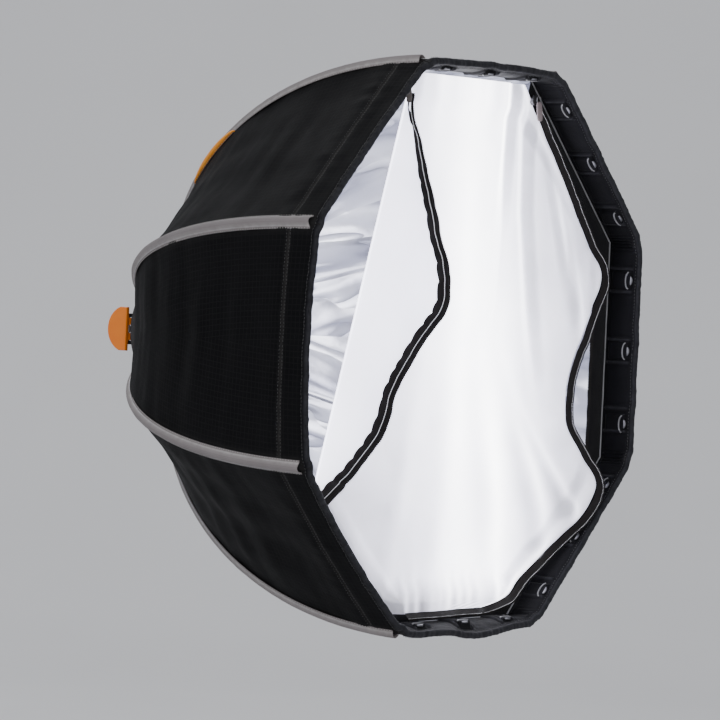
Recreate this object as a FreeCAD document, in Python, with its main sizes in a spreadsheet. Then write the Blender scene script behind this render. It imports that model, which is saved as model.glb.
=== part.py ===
import FreeCAD, Part
import math
import os

import Sketcher

# An octagonal softbox that folds like an umbrella. The origin is the centre of the mount ring's rear
# face, +Y runs back towards the light, the mouth faces -Y and +Z is up. The eight ribs lie at
# 22.5 + 45 k degrees about Y, measured from +X towards +Z.

V = FreeCAD.Vector
doc = FreeCAD.newDocument("octabox")
sheet = doc.addObject("Spreadsheet::Sheet", "Sizes")

SIZES = {
    "corner_radius": 305,  # across the corners of the mouth the box is 610 mm, or 24 in
    "box_depth": 416,  # mouth to the rear face of the mount ring
    "curve_depth": 397,  # depth of the quarter ellipse that every rib follows
    "hub_angle": 12.6,  # where the ellipse starts, at the hub
    "fabric_wall": 1.6,
    "seam_gap": 0.1,  # degrees between neighbouring canopy panels
    "rod_radius": 1.25,
    "rod_offset": 1.9,
    "cap_radius": 1.5,
    "cap_length": 7,
    "cap_overlap": 2,  # how far the cap reaches over the rod's end
    "sleeve_width": 10,
    "sleeve_hollow": 5,
    "sleeve_floor": 0.3,
    "sleeve_roof": 3.6,
    "sleeve_top": 4.2,
    "sleeve_end": 12,  # the sleeves stop this far behind the mouth
    "band_radius": 300.8,
    "band_wall": 2.5,
    "band_depth": 42,
    "magnet_radius": 6,
    "magnet_height": 2,
    "magnet_inset": 14,
    "ring_radius": 59,
    "ring_height": 17,
    "bore_radius": 42,
    "spigot_radius": 47.5,
    "spigot_length": 24,
    "grip_pitch": 5,
    "grip_width": 2,
    "grip_length": 9,
    "grip_height": 1,
    "keeper_radius": 52,
    "keeper_bore": 43,
    "keeper_height": 3,
    "hub_radius": 59,
    "hub_bore": 47.56,
    "hub_height": 22.6,
    "pivot_radius": 53.5,
    "pivot_depth": 25,
    "slot_width": 7,
    "slot_floor": 48.8,
    "slot_front": 10,
    "slot_rear": 4.6,
    "eye_radius": 4,
    "eye_width": 6,
    "pin_radius": 1.5,
    "pin_length": 15,
    "pin_play": 0.05,
    "hub_play": 0.3,  # between the mount ring's front face and the hub
    "cover_height": 2.4,
    "cover_bore": 53,
    "screw_radius": 1.6,
    "screw_circle": 56,
    "screw_depth": 9,
    "screw_head_radius": 2.6,
    "screw_head_height": 1.4,
    "flange_radius": 298.2,
    "flange_bore": 274,
    "flange_plane": 375,
    "cloth_wall": 1.5,
    "cloth_plane": 378,
    "flap_plane": 382.5,
    "lever_start": 4,
    "lever_length": 26,
    "lever_half": 23,
    "lever_wall": 4,
    "lever_back": 57.5,  # the plate's inner face, from the box's axis
    "lever_round": 1.6,
    "latch_x": 54.5,
    "latch_y": 6.5,
    "barrel_radius": 3.2,
    "barrel_start": 4.3,
    "barrel_length": 7.5,
    "tooth_start": 5,
    "tooth_width": 5,
    "tooth_reach": 12,
    "tooth_height": 3,
    "ear_radius": 2.8,
    "ear_start": 12.3,
    "ear_wall": 4,
    "ear_foot_start": 0.9,  # the ears' feet stand inward of the latch's axis by this, clear of the lever
    "ear_foot_width": 3.6,
    "coil_radius": 2.4,
    "coil_wire": 0.55,
    "coil_pitch": 0.95,
    "slider_length": 11,
    "slider_width": 8,
    "slider_height": 5,
    "slider_plane": 379.7,
    "slider_x": 113,
    "slider_z": 255,
    "pull_plane": 388.2,
    "pull_z": 255,
    "pull_wall": 2,
    "pull_eye": 3,
    "tab_low": 0.5,
    "tab_high": 5.5,
    "tab_near": 5.6,
    "tab_wall": 2,
}

for row, (alias, value) in enumerate(SIZES.items(), start=1):
    sheet.set(f"A{row}", alias)
    sheet.set(f"B{row}", str(value))
    sheet.setAlias(f"B{row}", alias)
doc.recompute()


def size(alias):
    """A driving dimension, read back from the sheet."""
    return float(sheet.get(alias))


RIBS = range(1, 9)
SECTIONS = 10
ROD_STEPS = 14
RIBBON_STEPS = 16
GRIPS = 8
COILS = 7
MAGNET_PLACES = (0.18, 0.5, 0.83)
ALONG_Y = FreeCAD.Rotation(V(1, 0, 0), 90)  # turns a solid that grows along +Z to grow along -Y
sub_parts = []


def rib_angle(rib):
    """Rib 1 is at the upper left of the top side seen from the front, and the count runs clockwise."""
    return 157.5 - 45 * rib


def keep(obj, name):
    """Marks a sub-part: its label names its file."""
    obj.Label = name
    sub_parts.append(obj)
    return obj


def bind(obj, **sizes):
    """Binds an object's properties to expressions in the sheet's aliases, written here as Sizes.alias."""
    for prop, expression in sizes.items():
        obj.setExpression(prop, expression)
    return obj


def turned(rotation=None, y=0.0):
    """A placement for a primitive that grows forward from the plane y."""
    about = ALONG_Y if rotation is None else ALONG_Y * FreeCAD.Rotation(V(0, 0, 1), rotation)
    return FreeCAD.Placement(V(0, y, 0), about)


def disc(name, radius, height, start):
    """A cylinder on the Y axis from y = -start forward, all three given as expressions."""
    obj = doc.addObject("Part::Cylinder", name)
    obj.Placement = turned()
    return bind(obj, Radius=radius, Height=height, **{".Placement.Base.y": f"-({start})"})


def prism(name, corner, height, start):
    """An octagonal prism with corners on the ribs, from y = -start forward."""
    obj = doc.addObject("Part::Prism", name)
    obj.Polygon = 8
    obj.Placement = turned(22.5)
    return bind(obj, Circumradius=corner, Height=height, **{".Placement.Base.y": f"-({start})"})


def cut(name, base, tool):
    obj = doc.addObject("Part::Cut", name)
    obj.Base = base
    obj.Tool = tool
    return obj


def common(name, *shapes):
    obj = doc.addObject("Part::MultiCommon", name)
    obj.Shapes = list(shapes)
    return obj


def fuse(name, *shapes):
    obj = doc.addObject("Part::MultiFuse", name)
    obj.Shapes = list(shapes)
    return obj


def group(name, shapes):
    """Separate solids that share one node."""
    obj = doc.addObject("Part::Compound", name)
    obj.Links = list(shapes)
    return obj


def feature(name, shape, placement=None):
    obj = doc.addObject("Part::Feature", name)
    obj.Shape = shape
    if placement is not None:
        obj.Placement = placement
    return obj


# The canopy: octagonal sections on a quarter ellipse, lofted with straight sides.


def section_angle(step):
    return f"(Sizes.hub_angle + (90 - Sizes.hub_angle) * {step} / {SECTIONS - 1})"


def bowl(name, inset):
    """A solid bowl whose corners lie on the ribs' ellipse, drawn in by the expression inset."""
    sections = []
    for step in range(SECTIONS):
        outline = doc.addObject("Part::RegularPolygon", f"{name}_section_{step}")
        outline.Polygon = 8
        outline.Placement = turned(22.5)
        angle = section_angle(step)
        bind(
            outline,
            Circumradius=f"Sizes.corner_radius * sin({angle}) - {inset}",
            **{".Placement.Base.y": f"Sizes.curve_depth * cos({angle}) - Sizes.box_depth"},
        )
        sections.append(outline)
    loft = doc.addObject("Part::Loft", name)
    loft.Sections = sections
    loft.Solid = True
    loft.Ruled = True
    return loft


def wedge(name, rib):
    """The sector about one rib, from which its share of the canopy and the band is cut."""
    obj = doc.addObject("Part::Cylinder", name)
    span = 45 - size("seam_gap")
    obj.Placement = turned(rib_angle(rib) - span / 2, 10)
    return bind(
        obj,
        Radius="Sizes.corner_radius * 1.2",
        Height="Sizes.box_depth + 40",
        Angle="45 - Sizes.seam_gap",
    )


canopy_shell = cut("canopy_shell", bowl("bowl_outside", "0"), bowl("bowl_inside", "Sizes.fabric_wall"))
band_depth = "Sizes.band_depth"
band_start = "(Sizes.box_depth - 1 - Sizes.band_depth)"
band_shell = cut(
    "band_shell",
    prism("band_outside", "Sizes.band_radius", band_depth, band_start),
    prism("band_inside", "Sizes.band_radius - Sizes.band_wall", band_depth, band_start),
)


# A rib's own plane: x is the distance from the box's axis and y is the box's Y.


def on_curve(angle, offset):
    """The point of the ribs' ellipse at this angle, moved outward along its normal."""
    a, b = size("corner_radius"), size("curve_depth")
    turn = math.radians(angle)
    normal = V(b * math.sin(turn), a * math.cos(turn), 0).normalize()
    return V(a * math.sin(turn), b * math.cos(turn) - size("box_depth"), 0) + normal * offset


def curve_angles(start, end, steps):
    return [start + (end - start) * step / steps for step in range(steps + 1)]


def mouth_angle(distance):
    """The ellipse angle at this distance behind the mouth."""
    return math.degrees(math.acos(distance / size("curve_depth")))


def rounded_path(points):
    """Straight runs through the points, joined by tangent arcs."""
    edges, start = [], points[0]
    for before, here, after in zip(points, points[1:], points[2:]):
        back, ahead = before - here, after - here
        trim = 0.45 * min(back.Length, ahead.Length)
        enter = here + back.normalize() * trim
        leave = here + ahead.normalize() * trim
        bisector = (back + ahead).normalize()
        half = bisector.getAngle(ahead)
        radius = trim * math.tan(half)
        middle = here + bisector * (radius / math.sin(half) - radius)
        edges.append(Part.LineSegment(start, enter).toShape())
        edges.append(Part.Arc(enter, middle, leave).toShape())
        start = leave
    edges.append(Part.LineSegment(start, points[-1]).toShape())
    return Part.Wire(edges)


def into_place(rib):
    """Turns a rib's own plane, whose normal is its +Z, to where the rib stands."""
    return FreeCAD.Placement(V(0, 0, 0), FreeCAD.Rotation(V(0, 1, 0), -rib_angle(rib)))


def ribbon(start_angle, end_angle, low, high, near, far):
    """A strip along the ellipse between two offsets, and between two distances beside the rib's plane."""
    angles = curve_angles(start_angle, end_angle, RIBBON_STEPS)
    outline = [on_curve(angle, low) for angle in angles]
    outline += [on_curve(angle, high) for angle in reversed(angles)]
    face = Part.Face(Part.makePolygon(outline + outline[:1]))
    face.translate(V(0, 0, near))
    return face.extrude(V(0, 0, far - near))


pivot = V(size("pivot_radius"), -size("pivot_depth"), 0)
hub_angle = size("hub_angle")
sleeve_last = mouth_angle(size("sleeve_end"))
rod_last = mouth_angle(size("sleeve_end") + size("cap_length"))


def rod_shape():
    """A round rod from the hinge eye to its tip, with the eye bored for its pin, and a cap on the tip."""
    offset = size("rod_offset")
    angles = curve_angles(hub_angle, rod_last, ROD_STEPS)
    points = [pivot] + [on_curve(angle, offset) for angle in angles]
    spine = rounded_path(points)
    start = (points[1] - points[0]).normalize()
    section = Part.Wire(Part.makeCircle(size("rod_radius"), points[0], start))
    rod = spine.makePipeShell([section], True, False)
    eye_width = size("eye_width")
    eye = Part.makeCylinder(size("eye_radius"), eye_width, pivot - V(0, 0, eye_width / 2))
    bore_radius = size("pin_radius") + size("pin_play")
    bore = Part.makeCylinder(bore_radius, eye_width * 2, pivot - V(0, 0, eye_width))
    rod_solid = rod.fuse(eye).cut(bore).removeSplitter()
    forward = (points[-1] - points[-2]).normalize()
    cap_start = points[-1] - forward * size("cap_overlap")
    cap = Part.makeCylinder(size("cap_radius"), size("cap_length"), cap_start, forward)
    return Part.makeCompound([rod_solid.cut(cap).Solids[0], cap])


def sleeve_shape():
    """The fabric channel that holds the rod against the outside of the canopy, open towards it."""
    half, hollow = size("sleeve_width") / 2, size("sleeve_hollow") / 2
    floor, roof, top = size("sleeve_floor"), size("sleeve_roof"), size("sleeve_top")
    first = hub_angle + 2
    body = ribbon(first, sleeve_last, floor, top, -half, half)
    below = 0.2
    channel = ribbon(first, sleeve_last, floor - below, roof, -hollow, hollow)
    return body.cut(channel)


def magnet(name, side_angle, place):
    """A disc magnet on the inside of the mouth band, at a share of one side's length."""
    apothem = math.cos(math.radians(22.5))
    half_side = size("corner_radius") * math.sin(math.radians(22.5))
    obj = doc.addObject("Part::Cylinder", name)
    bind(obj, Radius="Sizes.magnet_radius", Height="Sizes.magnet_height")
    play = 0.2
    inward = (size("band_radius") - size("band_wall")) * apothem - size("magnet_height") - play
    along = half_side * (2 * place - 1)
    turn = math.radians(side_angle)
    out, across = V(math.cos(turn), 0, math.sin(turn)), V(math.sin(turn), 0, -math.cos(turn))
    lift = V(0, size("magnet_inset") - size("box_depth"), 0)
    obj.Placement = FreeCAD.Placement(
        out * inward + across * along + lift, FreeCAD.Rotation(V(0, 0, 1), out)
    )
    return obj


rod = rod_shape()
sleeve = sleeve_shape()
for rib in RIBS:
    keep(feature(f"rib_rod_{rib}", rod, into_place(rib)), f"rib_rod_{rib}")
    keep(feature(f"rib_sleeve_{rib}", sleeve, into_place(rib)), f"rib_sleeve_{rib}")
    sector = wedge(f"sector_{rib}", rib)
    keep(common(f"canopy_panel_{rib}", canopy_shell, sector), f"canopy_panel_{rib}")
    keep(common(f"mouth_band_{rib}", band_shell, sector), f"mouth_band_{rib}")
    before, after = rib_angle(rib) + 22.5, rib_angle(rib) - 22.5
    discs = [magnet(f"magnet_{rib}_last", before, MAGNET_PLACES[2])]
    discs += [
        magnet(f"magnet_{rib}_{order}", after, place)
        for order, place in enumerate(MAGNET_PLACES[:2])
    ]
    keep(group(f"rim_magnets_{rib}", discs), f"rim_magnets_{rib}")


# The mount: a ring with a spigot that the hub turns on, ears for the latch, and a grip on one side.


def block(name, x, y, z, length, width, height):
    """A box with its lowest corner at x, y, z; every size is an expression."""
    obj = doc.addObject("Part::Box", name)
    return bind(
        obj,
        Length=length,
        Width=width,
        Height=height,
        **{".Placement.Base.x": x, ".Placement.Base.y": y, ".Placement.Base.z": z},
    )


def pin_along_z(name, radius, height, bottom):
    """A cylinder on the latch's axis."""
    obj = doc.addObject("Part::Cylinder", name)
    return bind(
        obj,
        Radius=radius,
        Height=height,
        **{
            ".Placement.Base.x": "-Sizes.latch_x",
            ".Placement.Base.y": "Sizes.latch_y",
            ".Placement.Base.z": bottom,
        },
    )


def two_sides(start, width):
    """The bottoms of a pair of pieces above and below the latch's middle."""
    return (("upper", start), ("lower", f"-({start}) - {width}"))


ears = []
for side, bottom in two_sides("Sizes.ear_start", "Sizes.ear_wall"):
    foot_start = "-Sizes.latch_x + Sizes.ear_foot_start"
    ears += [
        pin_along_z(f"ear_round_{side}", "Sizes.ear_radius", "Sizes.ear_wall", bottom),
        block(
            f"ear_foot_{side}",
            foot_start,
            "-1",
            bottom,
            "Sizes.ear_foot_width",
            "Sizes.latch_y + 1",
            "Sizes.ear_wall",
        ),
    ]
grips = []
for step in range(GRIPS):
    height = f"({step} - {(GRIPS - 1) / 2}) * Sizes.grip_pitch - Sizes.grip_width / 2"
    reach = "Sizes.ring_radius + Sizes.grip_height"
    grips.append(
        block(
            f"grip_{step}",
            f"-({reach})",
            "-Sizes.ring_height / 2 - Sizes.grip_length / 2",
            height,
            "6",
            "Sizes.grip_length",
            "Sizes.grip_width",
        )
    )
ring_blank = fuse(
    "ring_blank",
    disc("ring_rim", "Sizes.ring_radius", "Sizes.ring_height", "0"),
    disc("ring_spigot", "Sizes.spigot_radius", "Sizes.ring_height + Sizes.spigot_length", "0"),
    *ears,
    *grips,
)
ring_bored = cut("ring_bored", ring_blank, disc("ring_bore", "Sizes.bore_radius", "60", "-5"))
keep(cut("mount_ring", ring_bored, pin_along_z("ear_bore", "Sizes.pin_radius", "50", "-25")), "mount_ring")

keeper_start = "Sizes.ring_height + Sizes.spigot_length"
keep(
    cut(
        "retaining_ring",
        disc("keeper_rim", "Sizes.keeper_radius", "Sizes.keeper_height", keeper_start),
        disc("keeper_bore", "Sizes.keeper_bore", "Sizes.keeper_height", keeper_start),
    ),
    "retaining_ring",
)

# The latch: a D-shaped lever on a pin behind the ring, with a tooth that reaches over the bore's edge.

latch_pin_length = "2 * (Sizes.ear_start + Sizes.ear_wall)"
latch_pin_bottom = "-(Sizes.ear_start + Sizes.ear_wall)"
keep(pin_along_z("latch_pin", "Sizes.pin_radius", latch_pin_length, latch_pin_bottom), "latch_pin")


def lever_body():
    """The lever's D-shaped plate, sketched in the YZ plane and padded inward from its outer face."""
    body = doc.addObject("PartDesign::Body", "lever_plate")
    sketch = body.newObject("Sketcher::SketchObject", "lever_outline")
    plane = next(f for f in body.Origin.OriginFeatures if f.Role == "YZ_Plane")
    sketch.AttachmentSupport = [(plane, "")]
    sketch.MapMode = "FlatFace"
    bind(sketch, **{".AttachmentOffset.Base.z": "-Sizes.lever_back"})
    front, half = size("lever_start"), size("lever_half")
    round_start = front + size("lever_length") - half * 0.7
    corners = [V(front, -half, 0), V(round_start, -half, 0), V(round_start, half, 0), V(front, half, 0)]
    sketch.addGeometry(Part.LineSegment(corners[0], corners[1]))
    tip = V(front + size("lever_length"), 0, 0)
    sketch.addGeometry(Part.Arc(corners[1], tip, corners[2]))
    sketch.addGeometry(Part.LineSegment(corners[2], corners[3]))
    sketch.addGeometry(Part.LineSegment(corners[3], corners[0]))
    for first, second in ((0, 1), (2, 3), (3, 0)):
        ends = (2, 1)
        sketch.addConstraint(Sketcher.Constraint("Coincident", first, ends[0], second, ends[1]))
    pad = body.newObject("PartDesign::Pad", "lever_pad")
    pad.Profile = sketch
    pad.Reversed = True
    bind(pad, Length="Sizes.lever_wall")
    doc.recompute()
    fillet = body.newObject("PartDesign::Fillet", "lever_round")
    outer = min(pad.Shape.Faces, key=lambda face: face.CenterOfMass.x)
    number = next(i for i, face in enumerate(pad.Shape.Faces, 1) if face.isSame(outer))
    fillet.Base = (pad, [f"Face{number}"])
    bind(fillet, Radius="Sizes.lever_round")
    doc.recompute()
    return body


plate = lever_body()
barrels, webs, teeth = [], [], []
for side, bottom in two_sides("Sizes.barrel_start", "Sizes.barrel_length"):
    barrels.append(pin_along_z(f"barrel_{side}", "Sizes.barrel_radius", "Sizes.barrel_length", bottom))
    web_start = "-Sizes.lever_back - 1"
    web_width = "Sizes.lever_back - Sizes.latch_x + 0.5"
    web_y = "Sizes.latch_y - 2.4"
    webs.append(
        block(f"web_{side}", web_start, web_y, bottom, web_width, "5.4", "Sizes.barrel_length")
    )
for side, bottom in two_sides("Sizes.tooth_start", "Sizes.tooth_width"):
    teeth.append(
        block(
            f"tooth_{side}",
            "-Sizes.latch_x",
            "Sizes.latch_y - Sizes.tooth_height",
            bottom,
            "Sizes.tooth_reach",
            "Sizes.tooth_height",
            "Sizes.tooth_width",
        )
    )
lever_blank = fuse("lever_blank", plate, *barrels, *webs, *teeth)
lever_bore = pin_along_z("lever_bore", "Sizes.pin_radius + Sizes.pin_play", "50", "-25")
keep(cut("latch_lever", lever_blank, lever_bore), "latch_lever")

coils = []
for turn in range(COILS):
    coil = doc.addObject("Part::Torus", f"latch_coil_{turn}")
    bind(
        coil,
        Radius1="Sizes.coil_radius",
        Radius2="Sizes.coil_wire",
        **{
            ".Placement.Base.x": "-Sizes.latch_x",
            ".Placement.Base.y": "Sizes.latch_y",
            ".Placement.Base.z": f"({turn} - {(COILS - 1) // 2}) * Sizes.coil_pitch",
        },
    )
    coils.append(coil)
keep(fuse("latch_spring", *coils), "latch_spring")

# The hub: it turns on the spigot and holds the ribs' hinge pins in eight slots.

hub_start = "Sizes.ring_height + Sizes.hub_play"
hub_blank = cut(
    "hub_blank",
    disc("hub_rim", "Sizes.hub_radius", "Sizes.hub_height", hub_start),
    disc("hub_bore", "Sizes.hub_bore", "Sizes.hub_height", hub_start),
)


def placed_at_rib(shape, rib):
    shape = shape.copy()
    shape.Placement = into_place(rib)
    return shape


def rib_slot():
    """The gap that one rib's eye swings in, open outward and closed by walls before and behind."""
    width = size("slot_width")
    front = -size("pivot_depth") - size("slot_front")
    length = size("slot_front") + size("slot_rear")
    return Part.makeBox(20, length, width, V(size("slot_floor"), front, -width / 2))


def hinge_pin():
    length = size("pin_length")
    return Part.makeCylinder(size("pin_radius"), length, pivot - V(0, 0, length / 2))


def screw_bore(height, start):
    """A screw's shank, between two ribs, along Y."""
    turn, circle = math.radians(22.5), size("screw_circle")
    base = V(circle * math.cos(turn), -start, circle * math.sin(turn))
    return Part.makeCylinder(size("screw_radius"), height, base, V(0, -1, 0))


slots = feature("slots", Part.makeCompound([placed_at_rib(rib_slot(), rib) for rib in RIBS]))
pins = feature("pins", Part.makeCompound([placed_at_rib(hinge_pin(), rib) for rib in RIBS]))
hub_front = size("ring_height") + size("hub_play") + size("hub_height")
seat_depth = size("screw_depth") + 1
screw_seats = [placed_at_rib(screw_bore(seat_depth + 4, hub_front - seat_depth), rib) for rib in RIBS]
seats = feature("screw_seats", Part.makeCompound(screw_seats))
hub_slotted = cut("hub_slotted", hub_blank, slots)
hub_drilled = cut("hub_drilled", hub_slotted, pins)
keep(cut("hub_body", hub_drilled, seats), "hub_body")
keep(pins, "hinge_pins")


def screw():
    """A cheese-head screw through the cover into the hub."""
    cover, depth, circle = size("cover_height"), size("screw_depth"), size("screw_circle")
    shank = screw_bore(depth + cover, hub_front - depth)
    turn = math.radians(22.5)
    base = V(circle * math.cos(turn), -hub_front - cover, circle * math.sin(turn))
    head = Part.makeCylinder(size("screw_head_radius"), size("screw_head_height"), base, V(0, -1, 0))
    return shank.fuse(head).removeSplitter()


keep(feature("hub_screws", Part.makeCompound([placed_at_rib(screw(), rib) for rib in RIBS])), "hub_screws")
cover_start = "Sizes.ring_height + Sizes.hub_play + Sizes.hub_height"
cover_blank = cut(
    "cover_blank",
    disc("cover_rim", "Sizes.hub_radius", "Sizes.cover_height", cover_start),
    disc("cover_bore", "Sizes.cover_bore", "Sizes.cover_height", cover_start),
)
keep(cut("hub_cover", cover_blank, seats), "hub_cover")


# The front: a zip flange round seven sides, and the diffuser, open on the left and folded over.


def cloth(name, plane, outline):
    """A sheet of cloth parallel to the mouth, padded forward from its plane. An arc is three points."""
    body = doc.addObject("PartDesign::Body", f"{name}_body")
    sketch = body.newObject("Sketcher::SketchObject", f"{name}_outline")
    face = next(f for f in body.Origin.OriginFeatures if f.Role == "XZ_Plane")
    sketch.AttachmentSupport = [(face, "")]
    sketch.MapMode = "FlatFace"
    bind(sketch, **{".AttachmentOffset.Base.z": plane})
    start = V(*outline[0], 0)
    for step in outline[1:]:
        if len(step) == 2:
            end = V(*step, 0)
            sketch.addGeometry(Part.LineSegment(start, end))
        else:
            end = V(*step[2:], 0)
            sketch.addGeometry(Part.Arc(start, V(*step[:2], 0), end))
        start = end
    pad = body.newObject("PartDesign::Pad", f"{name}_pad")
    pad.Profile = sketch
    bind(pad, Length="Sizes.cloth_wall")
    return keep(body, name)


flange_ring = cut(
    "flange_ring",
    prism("flange_outside", "Sizes.flange_radius", "Sizes.cloth_wall", "Sizes.flange_plane"),
    prism("flange_inside", "Sizes.flange_bore", "Sizes.cloth_wall", "Sizes.flange_plane"),
)
top_sector = doc.addObject("Part::Cylinder", "top_sector")
top_sector.Angle = 45
top_sector.Placement = turned(67.5, 10)
bind(top_sector, Radius="Sizes.corner_radius * 1.2", Height="Sizes.box_depth + 40")
keep(cut("zip_flange", flange_ring, top_sector), "zip_flange")

cloth(
    "diffuser",
    "Sizes.cloth_plane",
    [
        (-98, 273),
        (102, 273),
        (110, 262),
        (240, 100),
        (254, 84, 252, 60),
        (206, -42, 246, -124),
        (250, -136, 242, -146),
        (128, -246),
        (104, -264, 66, -268),
        (-98, -268),
        (-228, -138),
        (-98, 273),
    ],
)
cloth(
    "diffuser_flap",
    "Sizes.flap_plane",
    [
        (-98, 262),
        (-62, 150, -37, 76),
        (-29, 56, -46, 34),
        (-104, -62, -216, -118),
        (-98, 262),
    ],
)

# The two zip sliders and their pulls, parked at the top corners of the flange.


def slider(name, side):
    """A slider body on the zip, lined up with the upper sloping side."""
    obj = doc.addObject("Part::Box", f"{name}_box")
    bind(obj, Length="Sizes.slider_length", Width="Sizes.slider_height", Height="Sizes.slider_width")
    turn = FreeCAD.Rotation(V(0, 1, 0), 45 * side)
    x, y, z = side * size("slider_x"), -size("slider_plane") - size("slider_height") / 2, size("slider_z")
    centre = V(x, y, z)
    middle = V(size("slider_length"), size("slider_height"), size("slider_width")) * 0.5
    obj.Placement = FreeCAD.Placement(centre - turn.multVec(middle), turn)
    return keep(obj, name)


def pull(name, side, length, width):
    """A pull hanging from its slider's loop, with a round eye at the top."""
    thick, along_x = size("pull_wall"), V(1, 0, 0)
    centre = V(side * size("slider_x"), -size("pull_plane"), size("pull_z"))
    tab = Part.makeBox(width, thick, length, centre - V(width / 2, thick / 2, length))
    eye = Part.makeCylinder(size("pull_eye"), width * 0.6, centre - along_x * width * 0.3, along_x)
    hole = Part.makeCylinder(size("pull_eye") / 3, width * 2, centre - along_x * width, along_x)
    return keep(feature(name, tab.fuse(eye).cut(hole).removeSplitter()), name)


slider("zip_slider_left", -1)
slider("zip_slider_right", 1)
pull("zip_pull_left", -1, 18, 11)
pull("zip_pull_right", 1, 28, 10)

# An orange tab of cloth stands beside the upper left rib's sleeve, near the hub.
near = size("tab_near")
tab = ribbon(33, 50, size("tab_low"), size("tab_high"), near, near + size("tab_wall"))
keep(feature("accent_tab", tab, into_place(1)), "accent_tab")

doc.recompute()
os.makedirs("parts", exist_ok=True)
for obj in doc.Objects:
    if "Invalid" in obj.State or "Error" in obj.State:
        raise RuntimeError(f"{obj.Name} failed: {obj.State}")
for obj in sub_parts:
    if obj.Shape.isNull() or not obj.Shape.isValid() or not obj.Shape.Solids:
        raise RuntimeError(f"{obj.Label} has no valid solid")
for obj in sub_parts:
    obj.Shape.exportStep(os.path.join("parts", f"{obj.Label}.step"))
    print(obj.Label, len(obj.Shape.Solids), round(obj.Shape.Volume, 1))
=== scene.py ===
import math

import bpy
import numpy as np
from mathutils import Matrix, Vector, noise


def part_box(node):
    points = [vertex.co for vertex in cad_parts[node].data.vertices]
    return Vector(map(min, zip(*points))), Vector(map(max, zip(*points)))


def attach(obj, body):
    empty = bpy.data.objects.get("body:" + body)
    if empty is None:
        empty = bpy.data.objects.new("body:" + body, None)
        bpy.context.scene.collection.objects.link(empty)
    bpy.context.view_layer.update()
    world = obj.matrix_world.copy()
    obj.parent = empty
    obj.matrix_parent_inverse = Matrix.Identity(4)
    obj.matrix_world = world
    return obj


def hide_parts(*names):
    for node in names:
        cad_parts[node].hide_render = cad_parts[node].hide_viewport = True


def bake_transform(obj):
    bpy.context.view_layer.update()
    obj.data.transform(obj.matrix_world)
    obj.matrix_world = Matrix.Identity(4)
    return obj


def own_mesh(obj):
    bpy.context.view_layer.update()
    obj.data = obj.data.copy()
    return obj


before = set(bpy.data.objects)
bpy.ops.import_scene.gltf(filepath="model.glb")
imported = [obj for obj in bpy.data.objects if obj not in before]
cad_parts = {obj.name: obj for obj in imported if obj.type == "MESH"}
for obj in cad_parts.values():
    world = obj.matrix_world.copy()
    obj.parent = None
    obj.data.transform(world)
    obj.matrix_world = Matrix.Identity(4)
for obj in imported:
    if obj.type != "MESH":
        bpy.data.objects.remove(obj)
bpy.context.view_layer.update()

# Metres, in the frame of the CAD model: +Y runs back to the light, the mouth faces -Y and +Z is up.

MM = 0.001
CORNER = 305 * MM  # mouth radius at the ribs
DEPTH = 416 * MM  # mouth to the rear of the mount ring
CURVE = 397 * MM  # depth of the ribs' quarter ellipse
HUB_ANGLE = 12.6  # degrees on that ellipse where the cloth starts
HALF_SIDE = 22.5  # degrees from a rib to the middle of the side beside it
COLLAR = 60 * MM  # radius of the canopy's hem round the mount ring
MOUTH = -DEPTH
BAND_RADIUS = 298.7 * MM  # inside of the mouth band, at its corners
FLANGE_BORE = 274 * MM
FLANGE_Y = MOUTH + 41 * MM
CLOTH_Y = MOUTH + 37 * MM
RIBS = range(1, 9)
APOTHEM = math.cos(math.radians(HALF_SIDE))
HALF_SINE = math.sin(math.radians(HALF_SIDE))


def rib_angle(rib):
    return 157.5 - 45 * rib


def radial(angle):
    """Away from the axis, at this angle round it."""
    turn = math.radians(angle)
    return np.array([math.cos(turn), 0.0, math.sin(turn)])


def sideways(angle):
    """Across radial(angle), along the mouth's edge."""
    turn = math.radians(angle)
    return np.array([-math.sin(turn), 0.0, math.cos(turn)])


def axes(angle):
    return radial(angle), sideways(angle)


def unit(vectors):
    """The same directions with a length of 1."""
    return vectors / np.maximum(np.linalg.norm(vectors, axis=-1, keepdims=True), 1e-12)


def curve_normal(angle):
    turn = math.radians(angle)
    return unit(np.array([CURVE * math.sin(turn), CORNER * math.cos(turn)]))


def on_curve(angle, offset=0.0):
    """(distance from the axis, y) of a point on a rib, moved outward along the curve's normal."""
    turn = math.radians(angle)
    point = np.array([CORNER * math.sin(turn), CURVE * math.cos(turn) - DEPTH])
    return point + curve_normal(angle) * offset


def mouth_angle(distance):
    """The curve's angle at this distance behind the mouth."""
    return math.degrees(math.acos(distance / CURVE))


def smooth(value, low, high):
    share = min(1.0, max(0.0, (value - low) / (high - low)))
    return share * share * (3 - 2 * share)


def bump(value, centre, width):
    return math.exp(-(((value - centre) / width) ** 2))


def ripple(x, y, z):
    """Smooth noise from -1 to 1."""
    return noise.noise(Vector((x, y, z)))


def travelled(points):
    """How far along a line each of its points is."""
    return np.concatenate([[0], np.cumsum(np.linalg.norm(np.diff(points, axis=0), axis=1))])


def between(wanted, places, values):
    """The values, which stand one row at each of the places, read off at the wanted ones."""
    return np.stack([np.interp(wanted, places, column) for column in values.T], axis=1)


def spline(points, count):
    """Evenly spaced points on a smooth curve through the given ones."""
    p = np.array(points, float)
    padded = np.vstack([2 * p[0] - p[1], p, 2 * p[-1] - p[-2]])
    dense = []
    for k in range(1, len(padded) - 2):
        a, b, c, d = padded[k - 1 : k + 3]
        square, cube = 2 * a - 5 * b + 4 * c - d, 3 * b - a - 3 * c + d
        for t in np.linspace(0, 1, 24, endpoint=False):
            dense.append(0.5 * (2 * b + (c - a) * t + square * t**2 + cube * t**3))
    dense = np.array(dense + [p[-1]])
    length = travelled(dense)
    return between(np.linspace(0, length[-1], count), length, dense)


# Mesh helpers


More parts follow.
